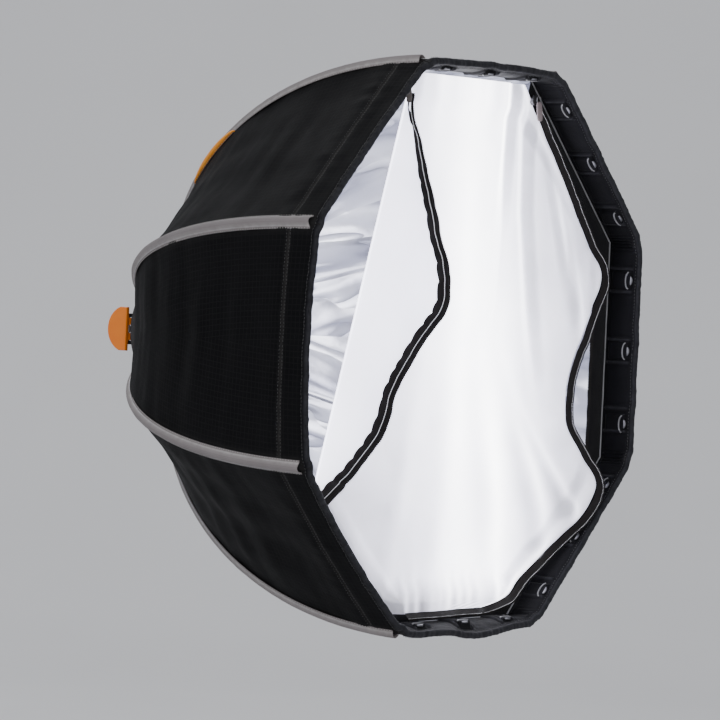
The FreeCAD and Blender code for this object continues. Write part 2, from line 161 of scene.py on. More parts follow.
def wound_along(points, faces, normals):
    """The faces, each wound so that it faces the way its points' normals do."""
    points, normals = np.array(points, float), np.array(normals, float)
    first, second, third, last = (np.array([face[k] for face in faces]) for k in (0, 1, 2, -1))
    facing = np.cross(points[third] - points[first], points[last] - points[second])
    facing /= np.maximum(np.linalg.norm(facing, axis=1, keepdims=True), 1e-15)
    agrees = np.einsum("ij,ij->i", facing, normals[first] + normals[third]) > -0.3
    return [tuple(face) if same else tuple(face)[::-1] for face, same in zip(faces, agrees)]


def new_mesh(name, points, faces, uvs=None, normals=None, materials=(), slots=None, wear=None, glow=None):
    """A mesh object. uvs are in metres of cloth; wear and glow are 0 to 1 at each point. glow drives painted
    light, the cloth's emission, and on the band wear also carries a painted highlight.
    """
    if normals is not None:
        faces = wound_along(points, faces, normals)
    mesh = bpy.data.meshes.new(name)
    mesh.from_pydata([tuple(p) for p in points], [], [tuple(f) for f in faces])
    mesh.update()
    corner_points = np.zeros(len(mesh.loops), int)
    mesh.loops.foreach_get("vertex_index", corner_points)
    if uvs is not None:
        layer = mesh.uv_layers.new(name="cloth")
        layer.data.foreach_set("uv", np.array(uvs, np.float32)[corner_points].ravel())
    for label, values in (("wear", wear), ("glow", glow)):
        if values is not None:
            attribute = mesh.attributes.new(label, "FLOAT", "POINT")
            attribute.data.foreach_set("value", np.array(values, np.float32))
    for item in materials:
        mesh.materials.append(item)
    if slots is not None:
        mesh.polygons.foreach_set("material_index", np.array(slots, np.int32))
    mesh.polygons.foreach_set("use_smooth", [True] * len(mesh.polygons))
    if normals is not None:
        mesh.normals_split_custom_set_from_vertices([tuple(n) for n in normals])
    obj = bpy.data.objects.new(name, mesh)
    bpy.context.collection.objects.link(obj)
    return obj


def grid_faces(rows, columns, first=0, flip=False):
    faces = []
    for i in range(rows - 1):
        for j in range(columns - 1):
            a = first + i * columns + j
            face = (a, a + 1, a + columns + 1, a + columns)
            faces.append(face[::-1] if flip else face)
    return faces


def tube_faces(rings, count, first=0, closed=True):
    """Faces between closed rings of points, and over both ends."""
    faces = []
    for i in range(rings - 1):
        for j in range(count):
            a, b = first + i * count + j, first + i * count + (j + 1) % count
            faces.append((a, b, b + count, a + count))
    if closed:
        last = first + (rings - 1) * count
        faces.append(tuple(reversed(range(first, first + count))))
        faces.append(tuple(range(last, last + count)))
    return faces


def grid_normals(points, rows, columns, towards=None, at=None):
    """The normals of a grid, turned so that the one numbered at faces towards a direction."""
    grid = np.array(points).reshape(rows, columns, 3)
    normals = unit(np.cross(np.gradient(grid, axis=1), np.gradient(grid, axis=0))).reshape(-1, 3)
    if towards is not None and normals[at] @ towards < 0:
        return -normals
    return normals


def shell_rim(rows, columns, second):
    """Faces that join the edges of two equal grids."""
    top = list(range(columns))
    right = [i * columns + columns - 1 for i in range(rows)]
    bottom = [(rows - 1) * columns + j for j in reversed(range(columns))]
    left = [i * columns for i in reversed(range(rows))]
    loop = top + right[1:] + bottom[1:] + left[1:]
    return [(b, a, a + second, b + second) for a, b in zip(loop, loop[1:])]


def two_faced(name, outer, inner, rows, columns, uvs, normals, outside, inside, wear=None):
    """A thin closed sheet with one cloth outside and another inside."""
    count, cells = rows * columns, (rows - 1) * (columns - 1)
    rim = shell_rim(rows, columns, count)
    faces = grid_faces(rows, columns) + grid_faces(rows, columns, count, flip=True) + rim
    slots = [0] * cells + [1] * cells + [0] * len(rim)
    double = None if normals is None else np.vstack([normals, -normals])
    worn = None if wear is None else list(wear) * 2
    uvs = np.vstack([uvs, uvs])
    return new_mesh(name, np.vstack([outer, inner]), faces, uvs, double, (outside, inside), slots, worn)


def loft(name, sections, uvs=None, **more):
    """A skin over closed sections that all have the same number of points, with closed ends."""
    points = [p for section in sections for p in section]
    return new_mesh(name, points, tube_faces(len(sections), len(sections[0])), uvs, **more)


def thread(path, normals, width, thick):
    """The rings of a flat cord along a path."""
    path, normals = np.array(path), np.array(normals)
    side = unit(np.cross(unit(np.gradient(path, axis=0)), normals))
    ring = [(math.cos(a), math.sin(a)) for a in np.linspace(0, 2 * math.pi, 7)[:-1]]
    return [
        [p + s * c * width / 2 + n * d * thick / 2 for c, d in ring]
        for p, s, n in zip(path, side, normals)
    ]


STITCH_PITCH = 3.4 * MM
STITCH_LENGTH = 2.3 * MM


def stitches(name, path, normals, material, width):
    """A row of stitches along a path, each a small lens-shaped thread."""
    path, normals = np.array(path, float), np.array(normals, float)
    length = travelled(path)
    points, faces = [], []
    for start in np.arange(STITCH_PITCH / 2, length[-1] - STITCH_LENGTH, STITCH_PITCH):
        spots = between([start, start + STITCH_LENGTH / 2, start + STITCH_LENGTH], length, path)
        up = between([start], length, normals)[0]
        side = unit(np.cross(spots[2] - spots[0], up))
        first = len(points)
        points.append(spots[0] - up * width * 0.3)
        middle = spots[1] + up * width * 0.35
        points += [middle + side * width / 2, middle + up * width * 0.35, middle - side * width / 2]
        points.append(spots[2] - up * width * 0.3)
        for a, b in ((1, 2), (2, 3), (3, 1)):
            faces += [(first, first + b, first + a), (first + 4, first + a, first + b)]
    return new_mesh(name, points, faces, materials=(material,))


def settle(piece, body, slot, *nodes):
    """What a piece moves with, and the CAD nodes that it stands for; slot is not used."""
    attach(piece, body)
    if nodes:
        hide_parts(*nodes)


# Materials


def nodes_of(name):
    material = bpy.data.materials.new(name)
    material.use_nodes = True
    tree = material.node_tree
    return material, tree, tree.nodes["Principled BSDF"]


def link(tree, source, target):
    tree.links.new(source, target)


def fixed(node, values):
    """Sets a node's own sockets."""
    for socket, value in values.items():
        node.inputs[socket].default_value = value


def math_node(tree, operation, first, second=None, clamp=False):
    node = tree.nodes.new("ShaderNodeMath")
    node.operation = operation
    node.use_clamp = clamp
    for socket, value in zip(node.inputs, (first, second)):
        if isinstance(value, (int, float)):
            socket.default_value = value
        elif value is not None:
            link(tree, value, socket)
    return node.outputs[0]


def noise_node(tree, scale, detail=3.0, roughness=0.55, stretch=None):
    """Noise over the object's own coordinates, in features per metre."""
    source = tree.nodes.new("ShaderNodeTexCoord").outputs["Object"]
    if stretch is not None:
        mapping = tree.nodes.new("ShaderNodeMapping")
        mapping.inputs["Scale"].default_value = stretch
        link(tree, source, mapping.inputs["Vector"])
        source = mapping.outputs[0]
    node = tree.nodes.new("ShaderNodeTexNoise")
    fixed(node, {"Scale": scale, "Detail": detail, "Roughness": roughness})
    link(tree, source, node.inputs["Vector"])
    return node.outputs["Fac"]


def cloth_uv(tree):
    node = tree.nodes.new("ShaderNodeUVMap")
    node.uv_map = "cloth"
    return node.outputs[0]


def mix_colour(tree, factor, first, second):
    node = tree.nodes.new("ShaderNodeMix")
    node.data_type = "RGBA"
    link(tree, factor, node.inputs["Factor"])
    for socket, value in ((node.inputs[6], first), (node.inputs[7], second)):
        if isinstance(value, tuple):
            socket.default_value = (*value, 1)
        else:
            link(tree, value, socket)
    return node.outputs[2]


def spread(tree, factor, low, high):
    """Maps 0..1 to low..high."""
    node = tree.nodes.new("ShaderNodeMapRange")
    fixed(node, {"To Min": low, "To Max": high})
    link(tree, factor, node.inputs["Value"])
    return node.outputs[0]


def waves(tree, per_metre):
    """Two crossing sets of threads, each 0 to 1, over the cloth's own coordinates."""
    split = tree.nodes.new("ShaderNodeSeparateXYZ")
    link(tree, cloth_uv(tree), split.inputs[0])
    found = []
    for socket in split.outputs[:2]:
        turn = math_node(tree, "MULTIPLY", socket, per_metre * math.tau)
        wave = math_node(tree, "SINE", turn)
        found.append(math_node(tree, "MULTIPLY_ADD", wave, 0.5))
        found[-1].node.inputs[2].default_value = 0.5
    return found


def ripstop(tree, per_metre):
    """The thicker threads of a ripstop grid, as thin raised lines."""
    lines = [math_node(tree, "POWER", wave, 24.0) for wave in waves(tree, per_metre)]
    return math_node(tree, "MAXIMUM", *lines)


def weave(tree, per_metre):
    warp, weft = waves(tree, per_metre)
    return math_node(tree, "MULTIPLY", warp, weft)


def add_bump(tree, shader, *heights):
    """Stacks bumps: each is (height socket, distance in metres, strength)."""
    previous = None
    for height, distance, strength in heights:
        node = tree.nodes.new("ShaderNodeBump")
        fixed(node, {"Distance": distance, "Strength": strength})
        link(tree, height, node.inputs["Height"])
        if previous is not None:
            link(tree, previous, node.inputs["Normal"])
        previous = node.outputs[0]
    link(tree, previous, shader.inputs["Normal"])


def surface(tree, shader, colour, grain, low, high):
    """Joins up a colour, and a roughness that varies from low to high with some noise."""
    link(tree, colour, shader.inputs["Base Color"])
    link(tree, spread(tree, grain, low, high), shader.inputs["Roughness"])


def worn_by(tree, amount):
    # The wear mask; on the band it also carries a painted highlight on the pocket ridges and pocket edges.
    node = tree.nodes.new("ShaderNodeAttribute")
    node.attribute_name = "wear"
    broken = noise_node(tree, 160, 4)
    return math_node(tree, "MULTIPLY", node.outputs["Fac"], math_node(tree, "MULTIPLY", broken, amount))


def canopy_black():
    material, tree, shader = nodes_of("canopy_black")
    cloudy = noise_node(tree, 14, 4)
    base = mix_colour(tree, cloudy, (0.0035, 0.0035, 0.004), (0.008, 0.008, 0.009))
    base = mix_colour(tree, ripstop(tree, 180), base, (0.010, 0.010, 0.0105))
    base = mix_colour(tree, worn_by(tree, 1.0), base, (0.04, 0.038, 0.037))
    surface(tree, shader, base, noise_node(tree, 40, 3), 0.5, 0.68)
    fixed(shader, {"Sheen Weight": 0.015, "Sheen Roughness": 0.45, "IOR": 1.08})
    fine, grid = (weave(tree, 1300), 0.0001, 0.4), (ripstop(tree, 180), 0.0002, 0.3)
    add_bump(tree, shader, (noise_node(tree, 32, 2), 0.002, 0.3), grid, fine)
    return material


def slanted_ridges(tree, scale, turn, stretch, sharp):
    """Long slanting ridges, as a stiff film creases."""
    place = tree.nodes.new("ShaderNodeTexCoord")
    mapping = tree.nodes.new("ShaderNodeMapping")
    mapping.inputs["Rotation"].default_value[2] = turn
    mapping.inputs["Scale"].default_value = (1.0, stretch, 1.0)
    link(tree, place.outputs["UV"], mapping.inputs["Vector"])
    cloud = tree.nodes.new("ShaderNodeTexNoise")
    fixed(cloud, {"Scale": scale, "Detail": 2.0})
    link(tree, mapping.outputs["Vector"], cloud.inputs["Vector"])
    off_centre = math_node(tree, "ABSOLUTE", math_node(tree, "SUBTRACT", cloud.outputs[0], 0.5))
    ridge = math_node(tree, "SUBTRACT", 1.0, math_node(tree, "MULTIPLY", off_centre, 2.0), clamp=True)
    return math_node(tree, "POWER", ridge, sharp)


def canopy_silver():
    material, tree, shader = nodes_of("canopy_silver")
    cloudy = noise_node(tree, 9, 4, 0.6)
    base = mix_colour(tree, cloudy, (0.19, 0.197, 0.25), (0.46, 0.47, 0.55))
    broad = slanted_ridges(tree, 11, 0.75, 0.22, 7.0)
    crossing = slanted_ridges(tree, 17, -0.55, 0.3, 9.0)
    # Painted highlight: the broad creases are coloured near white.
    base = mix_colour(tree, broad, base, (0.93, 0.94, 0.97))
    # Painted shade: the crossing creases are coloured dark.
    base = mix_colour(tree, math_node(tree, "MULTIPLY", crossing, 0.6), base, (0.20, 0.205, 0.26))
    surface(tree, shader, base, noise_node(tree, 60, 4), 0.24, 0.42)
    fixed(shader, {"Metallic": 0.88})
    soft = (noise_node(tree, 26, 3), 0.004, 0.35)
    add_bump(tree, shader, (broad, 0.008, 0.7), (crossing, 0.005, 0.6), soft)
    return material


def plain_weave(name, dark, light, rough, sheen, threads=700, crease=0.35, worn=(0.3, 0.3, 0.3), wear=0.0):
    material, tree, shader = nodes_of(name)
    base = mix_colour(tree, noise_node(tree, 30, 4), dark, light)
    shade = math_node(tree, "MULTIPLY", weave(tree, threads), 0.35)
    base = mix_colour(tree, shade, base, tuple(c * 0.6 for c in dark))
    if wear:
        base = mix_colour(tree, worn_by(tree, wear), base, worn)
    surface(tree, shader, base, noise_node(tree, 90, 3), rough - 0.07, rough + 0.07)
    fixed(shader, {"Sheen Weight": sheen, "Sheen Roughness": 0.5, "IOR": 1.15})
    threads_high = (weave(tree, threads), 0.00025, 0.6)
    add_bump(tree, shader, (noise_node(tree, 70, 3), 0.0012, crease), threads_high)
    return material


def diffuser_white(name, dim, bright, tint):
    """Translucent cloth lit from behind: the light that shows through is painted as emission, from dim to
    bright as the glow at each point of the mesh says, and tinted lilac where dim as painted shade.
    """
    material, tree, shader = nodes_of(name)
    base = mix_colour(tree, noise_node(tree, 9, 3), tuple(0.9 * c for c in tint), tint)
    link(tree, base, shader.inputs["Base Color"])
    fixed(shader, {"Roughness": 0.8, "Sheen Weight": 0.1})
    glow = tree.nodes.new("ShaderNodeAttribute")
    glow.attribute_name = "glow"
    patchy = spread(tree, noise_node(tree, 16, 4), -0.11, 0.11)
    lit = math_node(tree, "ADD", glow.outputs["Fac"], patchy, clamp=True)
    # Painted light: the emission's colour and strength, with random patches, lilac and weak where the painted
    # glow is low.
    link(tree, mix_colour(tree, lit, (0.77, 0.76, 0.95), (1.0, 1.0, 1.0)), shader.inputs["Emission Color"])
    link(tree, spread(tree, lit, dim, bright), shader.inputs["Emission Strength"])
    add_bump(tree, shader, (noise_node(tree, 26, 5), 0.006, 0.45), (weave(tree, 900), 0.0002, 0.5))
    through = tree.nodes.new("ShaderNodeBsdfTranslucent")
    through.inputs["Color"].default_value = (*tint, 1)
    mix = tree.nodes.new("ShaderNodeMixShader")
    mix.inputs[0].default_value = 0.4
    link(tree, shader.outputs[0], mix.inputs[1])
    link(tree, through.outputs[0], mix.inputs[2])
    link(tree, mix.outputs[0], tree.nodes["Material Output"].inputs["Surface"])
    return material


def moulded(name, dark, light, rough, grain=500, coat=0.0):
    material, tree, shader = nodes_of(name)
    base = mix_colour(tree, noise_node(tree, 60, 5), dark, light)
    surface(tree, shader, base, noise_node(tree, 140, 4), rough - 0.08, rough + 0.08)
    fixed(shader, {"Coat Weight": coat, "Coat Roughness": 0.25})
    fine, soft = noise_node(tree, grain, 2), noise_node(tree, 90, 3)
    add_bump(tree, shader, (fine, 0.0002, 0.5), (soft, 0.0004, 0.2))
    return material


def metal(name, dark, light, rough):
    material, tree, shader = nodes_of(name)
    base = mix_colour(tree, noise_node(tree, 120, 4), dark, light)
    brushed = noise_node(tree, 400, 3, stretch=(1, 8, 1))
    surface(tree, shader, base, brushed, rough - 0.1, rough + 0.1)
    fixed(shader, {"Metallic": 1.0})
    add_bump(tree, shader, (noise_node(tree, 700, 2), 0.0001, 0.4))
    return material


BLACK = canopy_black()
SILVER = canopy_silver()
# The band's light black is wear on its front edge, and a painted highlight on the pocket ridges and pocket
# edges.
RUBBED_GREY, WEAR_AND_HIGHLIGHT_BLACK = (0.62, 0.6, 0.58), (0.045, 0.045, 0.052)
GREY = plain_weave(
    "sleeve_grey", (0.165, 0.148, 0.149), (0.235, 0.213, 0.215), 0.75, 0.15, 800, 0.4, RUBBED_GREY, 0.8
)
BAND = plain_weave(
    "band_black", (0.0026, 0.0026, 0.0036), (0.0065, 0.0065, 0.0085), 0.6, 0.04, 800, 0.5, WEAR_AND_HIGHLIGHT_BLACK, 1.0
)
TAPE = plain_weave("zip_tape_black", (0.008, 0.0068, 0.0068), (0.017, 0.0148, 0.015), 0.75, 0.08, 1200, 0.2)
FLANGE = plain_weave("flange_black", (0.005, 0.0049, 0.006), (0.0105, 0.01, 0.012), 0.7, 0.05, 800, 0.5)
PIPING = plain_weave("piping_grey", (0.17, 0.17, 0.18), (0.26, 0.26, 0.27), 0.6, 0.3, 1200, 0.2)
ORANGE_CLOTH = plain_weave("accent_orange", (0.83, 0.27, 0.012), (0.95, 0.38, 0.03), 0.6, 0.3, 900, 0.2)
# The diffuser and its flap glow by emission: painted light standing for the lamp behind them showing through.
WHITE = diffuser_white("diffuser_white", 0.3, 13.0, (0.83, 0.83, 0.90))
WHITE_FLAP = diffuser_white("diffuser_flap_white", 0.4, 6.0, (0.85, 0.85, 0.92))
THREAD_DARK = plain_weave("thread_dark", (0.035, 0.035, 0.038), (0.06, 0.06, 0.063), 0.6, 0.2)
THREAD_GREY = plain_weave("thread_grey", (0.5, 0.48, 0.46), (0.6, 0.58, 0.56), 0.6, 0.2)
THREAD_WHITE = plain_weave("thread_white", (0.75, 0.75, 0.77), (0.88, 0.88, 0.9), 0.6, 0.2)
NYLON = moulded("ring_nylon", (0.016, 0.016, 0.018), (0.03, 0.03, 0.033), 0.45)
ORANGE = moulded("lever_orange", (0.82, 0.17, 0.002), (0.93, 0.25, 0.006), 0.4, 400, 0.15)
FIBRE = moulded("rod_fibre", (0.03, 0.03, 0.032), (0.06, 0.06, 0.062), 0.35, 900)
DARK_METAL = metal("slider_dark", (0.08, 0.08, 0.085), (0.16, 0.16, 0.165), 0.4)
MAUVE = moulded("pull_mauve", (0.20, 0.16, 0.17), (0.29, 0.24, 0.25), 0.5, 700)
STEEL = metal("pin_steel", (0.5, 0.5, 0.52), (0.68, 0.68, 0.7), 0.35)
# Painted shade: the magnets are coloured darker than bare nickel, for the shade in their pockets.
MAGNET = metal("magnet_nickel_painted_shade", (0.13, 0.13, 0.145), (0.24, 0.24, 0.26), 0.38)


def paint(node, material):
    """Gives a CAD node that stays in view its material."""
    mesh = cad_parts[node].data
    mesh.materials.clear()
    mesh.materials.append(material)


# The canopy. Side number rib lies between this rib and the one before it, anticlockwise from the front.


def side_angle(side):
    return rib_angle(side) + HALF_SIDE


SEAM_Y = MOUTH + 36 * MM
# Between two ribs the mouth's edge is drawn back on the near sides, and the bottom one sags outward.
RIM_BACK = {7: 7.5 * MM, 8: 6 * MM, 1: 1.5 * MM}
RIM_OUT = {2: 3 * MM, 6: 6 * MM}


def rim_shift(side, along, behind):
    """(outward, rearward) shift of the mouth's edge; both fade out behind it."""
    bow = 1 - along * along
    out = RIM_OUT.get(side, 0.6 * MM) * bow
    if side == 6:
        out += 2.2 * MM * math.sin(along * 5.2 + 0.6) * bow
    out += 1.0 * MM * ripple(along * 5, side * 6.1, 0.0) * bow
    back = RIM_BACK.get(side, 0.0) * bow + 0.8 * MM * ripple(along * 6, side * 3.3, 4.0) * bow
    return out * (1 - smooth(behind, 0.002, 0.022)), back * (1 - smooth(behind, 0.0, 0.085))


def corner_trim(along, behind):
    """How far the mouth's corners are rounded in."""
    return -4.5 * MM * bump(1 - abs(along), 0.0, 0.055) * (1 - smooth(behind, 0.001, 0.016))


def cloth_height(side, along, y, reach):
    """How far a side's cloth stands off its flat panel, outward. along runs from -1 to 1 between its ribs."""
    behind = y - MOUTH
    near_mouth = smooth(behind, 0.043, 0.11)
    near_hub = smooth(-y, 0.03, 0.12)
    middle = 1 - along * along
    sag = -6.5 * MM * middle * near_hub * near_mouth
    across = along * reach
    crossways = ripple(across * 4, y * 30, side * 3.1)
    crossways += 0.5 * ripple(across * 9, y * 70, side * 7.7)
    folds = 3.4 * MM * crossways * near_hub * near_mouth * (0.35 + 0.65 * middle)
    long_fold = 2.4 * MM * ripple(across * 26, y * 5, side * 1.7 + 5) * near_hub * near_mouth
    pucker = 1.3 * MM * (0.5 + ripple(across * 80, behind * 9, side * 2.3))
    pucker *= bump(behind, 0.047, 0.012) + 0.6 * bump(behind, 0.028, 0.007)
    by_rib = smooth(abs(along), 0.72, 0.97)
    rib_pucker = 0.8 * MM * ripple(y * 62, side * 4.1 + along, 0.3) * by_rib * near_hub * near_mouth
    groove = -0.5 * MM * bump(y, SEAM_Y, 1.8 * MM)
    return (sag + folds + long_fold + pucker + rib_pucker + groove) * (1 - smooth(abs(along), 0.96, 1.0))


def canopy_point(side, along, angle, offset=0.0):
    """A point of the canopy on one side. along is -1 at the clockwise rib and 1 at the other."""
    r, y = on_curve(angle)
    normal, edgeways = axes(side_angle(side))
    reach = r * HALF_SINE
    out, back = rim_shift(side, along, y - MOUTH)
    r += corner_trim(along, y - MOUTH)
    flat = normal * r * APOTHEM + edgeways * along * reach
    point = flat + normal * (cloth_height(side, along, y, reach) + out + offset)
    point[1] = y + back
    return point


def side_of(rib, across):
    """(side, along) of a place on a rib's panel, where across runs from -1 to 1 and 0 is the rib."""
    if across > 0:
        return rib, across - 1
    return (rib % 8) + 1, across + 1


CANOPY_ROWS = 62
CANOPY_EDGE_ROWS = 48
CANOPY_HALF = 34
COLLAR_ROWS = 3
CLOTH_WALL = 0.8 * MM


def collar_point(side, along, share):
    """The canopy's hem, which narrows from its first row to a circle round the mount ring."""
    start = canopy_point(side, along, HUB_ANGLE)
    scale = 1 + share * (COLLAR / math.hypot(start[0], start[2]) - 1)
    lip = 5.5 * MM * (1 - smooth(abs(along), 0.78, 0.93))
    return np.array([start[0] * scale, start[1] + (1.2 * MM + lip) * share, start[2] * scale])


def canopy_panel(rib):
    """The share of the canopy on one rib: black outside, silver inside."""
    near_edge = mouth_angle(75 * MM)
    angles = [HUB_ANGLE] * COLLAR_ROWS
    angles += list(np.linspace(HUB_ANGLE, near_edge, CANOPY_ROWS, endpoint=False))
    angles += list(np.linspace(near_edge, 89.7, CANOPY_EDGE_ROWS))
    steps = [k / CANOPY_HALF for k in range(-CANOPY_HALF - 1, CANOPY_HALF + 2)]
    points, uvs, wear = [], [], []
    length, before = 0.0, None
    for number, angle in enumerate(angles):
        r, y = on_curve(angle)
        gathered = max(0, COLLAR_ROWS - number) / COLLAR_ROWS
        here = np.array([r - 6 * MM * gathered, y])
        length += 0.0 if before is None else float(np.linalg.norm(here - before))
        before = here
        for step in steps:
            side, along = side_of(rib, step)
            if number < COLLAR_ROWS:
                points.append(collar_point(side, along, gathered))
            else:
                points.append(canopy_point(side, along, angle))
            uvs.append((step * r * HALF_SINE, length))
            near_rib = 1 - smooth(abs(step) * r * 0.38, 0.004, 0.014)
            wear.append(max(0.5 * near_rib, bump(y, SEAM_Y, 2.5 * MM)))
    rows, columns = len(angles), len(steps)
    middle = rows // 2 * columns + columns // 2
    normals = grid_normals(points, rows, columns, radial(rib_angle(rib)), middle)

    def inside_cuts(values):
        return np.array(values).reshape(rows, columns, -1)[:, 1:-1].reshape(rows * (columns - 2), -1)

    outer, uvs, wear, normals = (inside_cuts(values) for values in (points, uvs, wear, normals))
    inner = outer - normals * CLOTH_WALL
    name, wear = f"canopy_{rib}", wear.ravel()
    piece = two_faced(name, outer, inner, rows, columns - 2, uvs, normals, BLACK, SILVER, wear)
    settle(piece, f"rib_{rib}", "canopy_fabric", f"canopy_panel_{rib}")


# The grey sleeves over the ribs, with their rods' ends showing at the mouth


def sleeve_section(angle, rib, swell):
    """One closed section of a sleeve: an arch over the rod, with a sewn edge on each side."""
    outline = [(-7.2, -2.3), (-5.8, -1.5), (-5.1, -0.2), (-4.2, 1.3), (-2.2, 3.2), (0, 3.75)]
    arch = outline + [(-x, h) for x, h in reversed(outline[:-1])]
    inner = [(-x * 0.86, h - 0.45) for x, h in arch[2:-2]]
    under = [(5.0, -1.9), *inner, (-5.0, -1.9)]
    r, y = on_curve(angle)
    lift = curve_normal(angle)
    out, side = axes(rib_angle(rib))
    section = []
    width = 0.74 + 0.26 * smooth(angle, 15, 65)
    for x, height in arch + under:
        x *= width
        high = height * (1 + swell * 0.06 if height > 0 else 1)
        point = out * (r + lift[0] * high * MM) + side * x * MM
        point[1] = y + lift[1] * high * MM
        section.append(point)
    return section


def sleeve(rib):
    end = mouth_angle(11 * MM)
    angles = np.linspace(HUB_ANGLE + 1.6, end, 110)
    sections = []
    for angle in angles:
        y = on_curve(angle)[1]
        swell = ripple(y * 55, rib * 2.2, 0.0) + 0.6 * ripple(y * 130, rib * 5.1, 1.0)
        sections.append(sleeve_section(angle, rib, swell))
    count = len(sections[0])
    uvs = [(j * 1.6 * MM, i * 4.6 * MM) for i in range(len(angles)) for j in range(count)]
    wear = [0.9 if j in (2, 8) else 0.35 if j in (3, 7) else 0.0 for _ in angles for j in range(count)]
    piece = loft(f"sleeve_{rib}", sections, uvs=uvs, materials=(GREY,), wear=wear)
    settle(piece, f"rib_{rib}", "sleeve_fabric", f"rib_sleeve_{rib}")
    out, side = axes(rib_angle(rib))
    for name, x in (("a", -6.6), ("b", 6.6)):
        path, normals = [], []
        for angle in angles:
            r, y = on_curve(angle, -1.6 * MM)
            path.append(out * r + side * x * MM + np.array([0, y, 0]))
            normals.append(radial(rib_angle(rib) + math.copysign(18, x)))
        row = stitches(f"sleeve_stitch_{rib}_{name}", path, normals, THREAD_GREY, 0.8 * MM)
        settle(row, f"rib_{rib}", "sleeve_fabric")


# The mouth band: it wraps the mouth's edge, with pockets for the magnets on its inside

POCKETS = (0.18, 0.5, 0.83)
SIDE_HALF = CORNER * HALF_SINE
BAND_DEPTH = 42.5 * MM
RIDGE = 12.4 * MM  # from the middle of a pocket to the ridge beside it
RIDGE_WIDTH = 1.3 * MM
MAGNET_FACE = 273.4 * MM
MAGNET_INSET = 14 * MM


def band_profile():
    """(how far behind the mouth, layer) along the outside, round the front edge and back down the inside."""
    outside = [(8.5 - 6.5 * k / 5, 0.0) for k in range(6)]
    front = [(2.0 - 2.0 * math.sin(a), (1 - math.cos(a)) / 2) for a in np.linspace(0.2, math.pi - 0.2, 9)]
    inside = [(2.0 + (BAND_DEPTH / MM - 2.0) * k / 40, 1.0) for k in range(41)]
    return outside + front + inside


def pad_height(side, along, behind):
    """The padding on the inside of the band, towards the axis, with a ridge on each side of every pocket."""
    across = along * SIDE_HALF
    before_binding = 1 - smooth(behind, 0.033, 0.038)
    inside = smooth(behind, 0.004, 0.009) * before_binding
    high = 1.5 * MM * smooth(behind, 0.002, 0.009)
    for place in POCKETS:
        centre = (2 * place - 1) * SIDE_HALF
        high -= 1.3 * MM * (1 - smooth(abs(across - centre), 0.0098, 0.0112)) * inside
        for edge in (-RIDGE, RIDGE):
            high += 2.3 * MM * bump(across, centre + edge, RIDGE_WIDTH) * smooth(behind, 0.006, 0.009)
            high -= 0.7 * MM * bump(across, centre + edge * 1.3, RIDGE_WIDTH) * inside
    high += 0.6 * MM * ripple(across * 42, behind * 30, side * 3.0)
    corner = smooth(abs(along), 0.87, 0.97)
    high += 1.8 * MM * corner * math.sin(across * 1500 + behind * 60 + side) * inside
    return high * before_binding


def band_point(side, along, behind, layer):
    normal, across = axes(side_angle(side))
    deep = behind * MM
    shift, back = rim_shift(side, along, deep)
    r = on_curve(mouth_angle(max(deep, 0.1 * MM)))[0]
    edge = r * APOTHEM + min(0.0, cloth_height(side, along, MOUTH + deep, SIDE_HALF)) * 0.6
    outer = edge + 0.9 * MM - 1.6 * MM * smooth(behind, 5.5, 8.5)
    outer += 0.5 * MM * ripple(along * 40, behind * 0.2, side * 4.4)
    inner = BAND_RADIUS * APOTHEM - pad_height(side, along, deep)
    distance = outer + (inner - outer) * layer + shift + corner_trim(along, deep) * APOTHEM
    reach = math.tan(math.radians(HALF_SIDE))
    front = 1 - smooth(behind, 0.0, 16.0)
    frill = 0.7 * MM * ripple(along * 26, side * 5.0, 2.5)
    point = normal * distance + across * along * distance * reach
    point[1] = MOUTH + deep + 1.2 * MM * front + back + frill * front * (1 - smooth(abs(along), 0.9, 1.0))
    return point


def ridge_wear_and_highlight(along, behind):
    """The ridges beside the pockets are coloured lighter: wear from rubbing, and a painted highlight on their
    crests.
    """
    ridges = [(2 * place - 1) * SIDE_HALF + edge for place in POCKETS for edge in (-RIDGE, RIDGE)]
    rubbed_and_highlit = max(bump(along * SIDE_HALF, ridge, RIDGE_WIDTH) for ridge in ridges)
    return rubbed_and_highlit * smooth(behind, 6, 9)


def mouth_band(rib):
    profile = band_profile()
    half = 84
    steps = [k / half for k in range(-half, half + 1)]
    points, uvs, wear = [], [], []
    for number, (behind, layer) in enumerate(profile):
        for step in steps:
            side, along = side_of(rib, step)
            points.append(band_point(side, along, behind, layer))
            uvs.append((step * SIDE_HALF, number * 1.2 * MM))
            # Wear on the front edge, and on the pocket ridges, where it is also a painted highlight.
            wear.append(max(bump(behind, 0.5, 2.0), ridge_wear_and_highlight(along, behind)) * 0.8)
    rows, columns = len(profile), len(steps)
    quarter = columns // 4
    towards = radial(side_angle(side_of(rib, steps[quarter])[0]))
    normals = grid_normals(points, rows, columns, towards, quarter)
    inner = np.array(points) - normals * CLOTH_WALL
    name = f"mouth_band_cloth_{rib}"
    piece = two_faced(name, points, inner, rows, columns, uvs, normals, BAND, BAND, wear)
    settle_mouth(piece, rib, "band_fabric", f"mouth_band_{rib}")


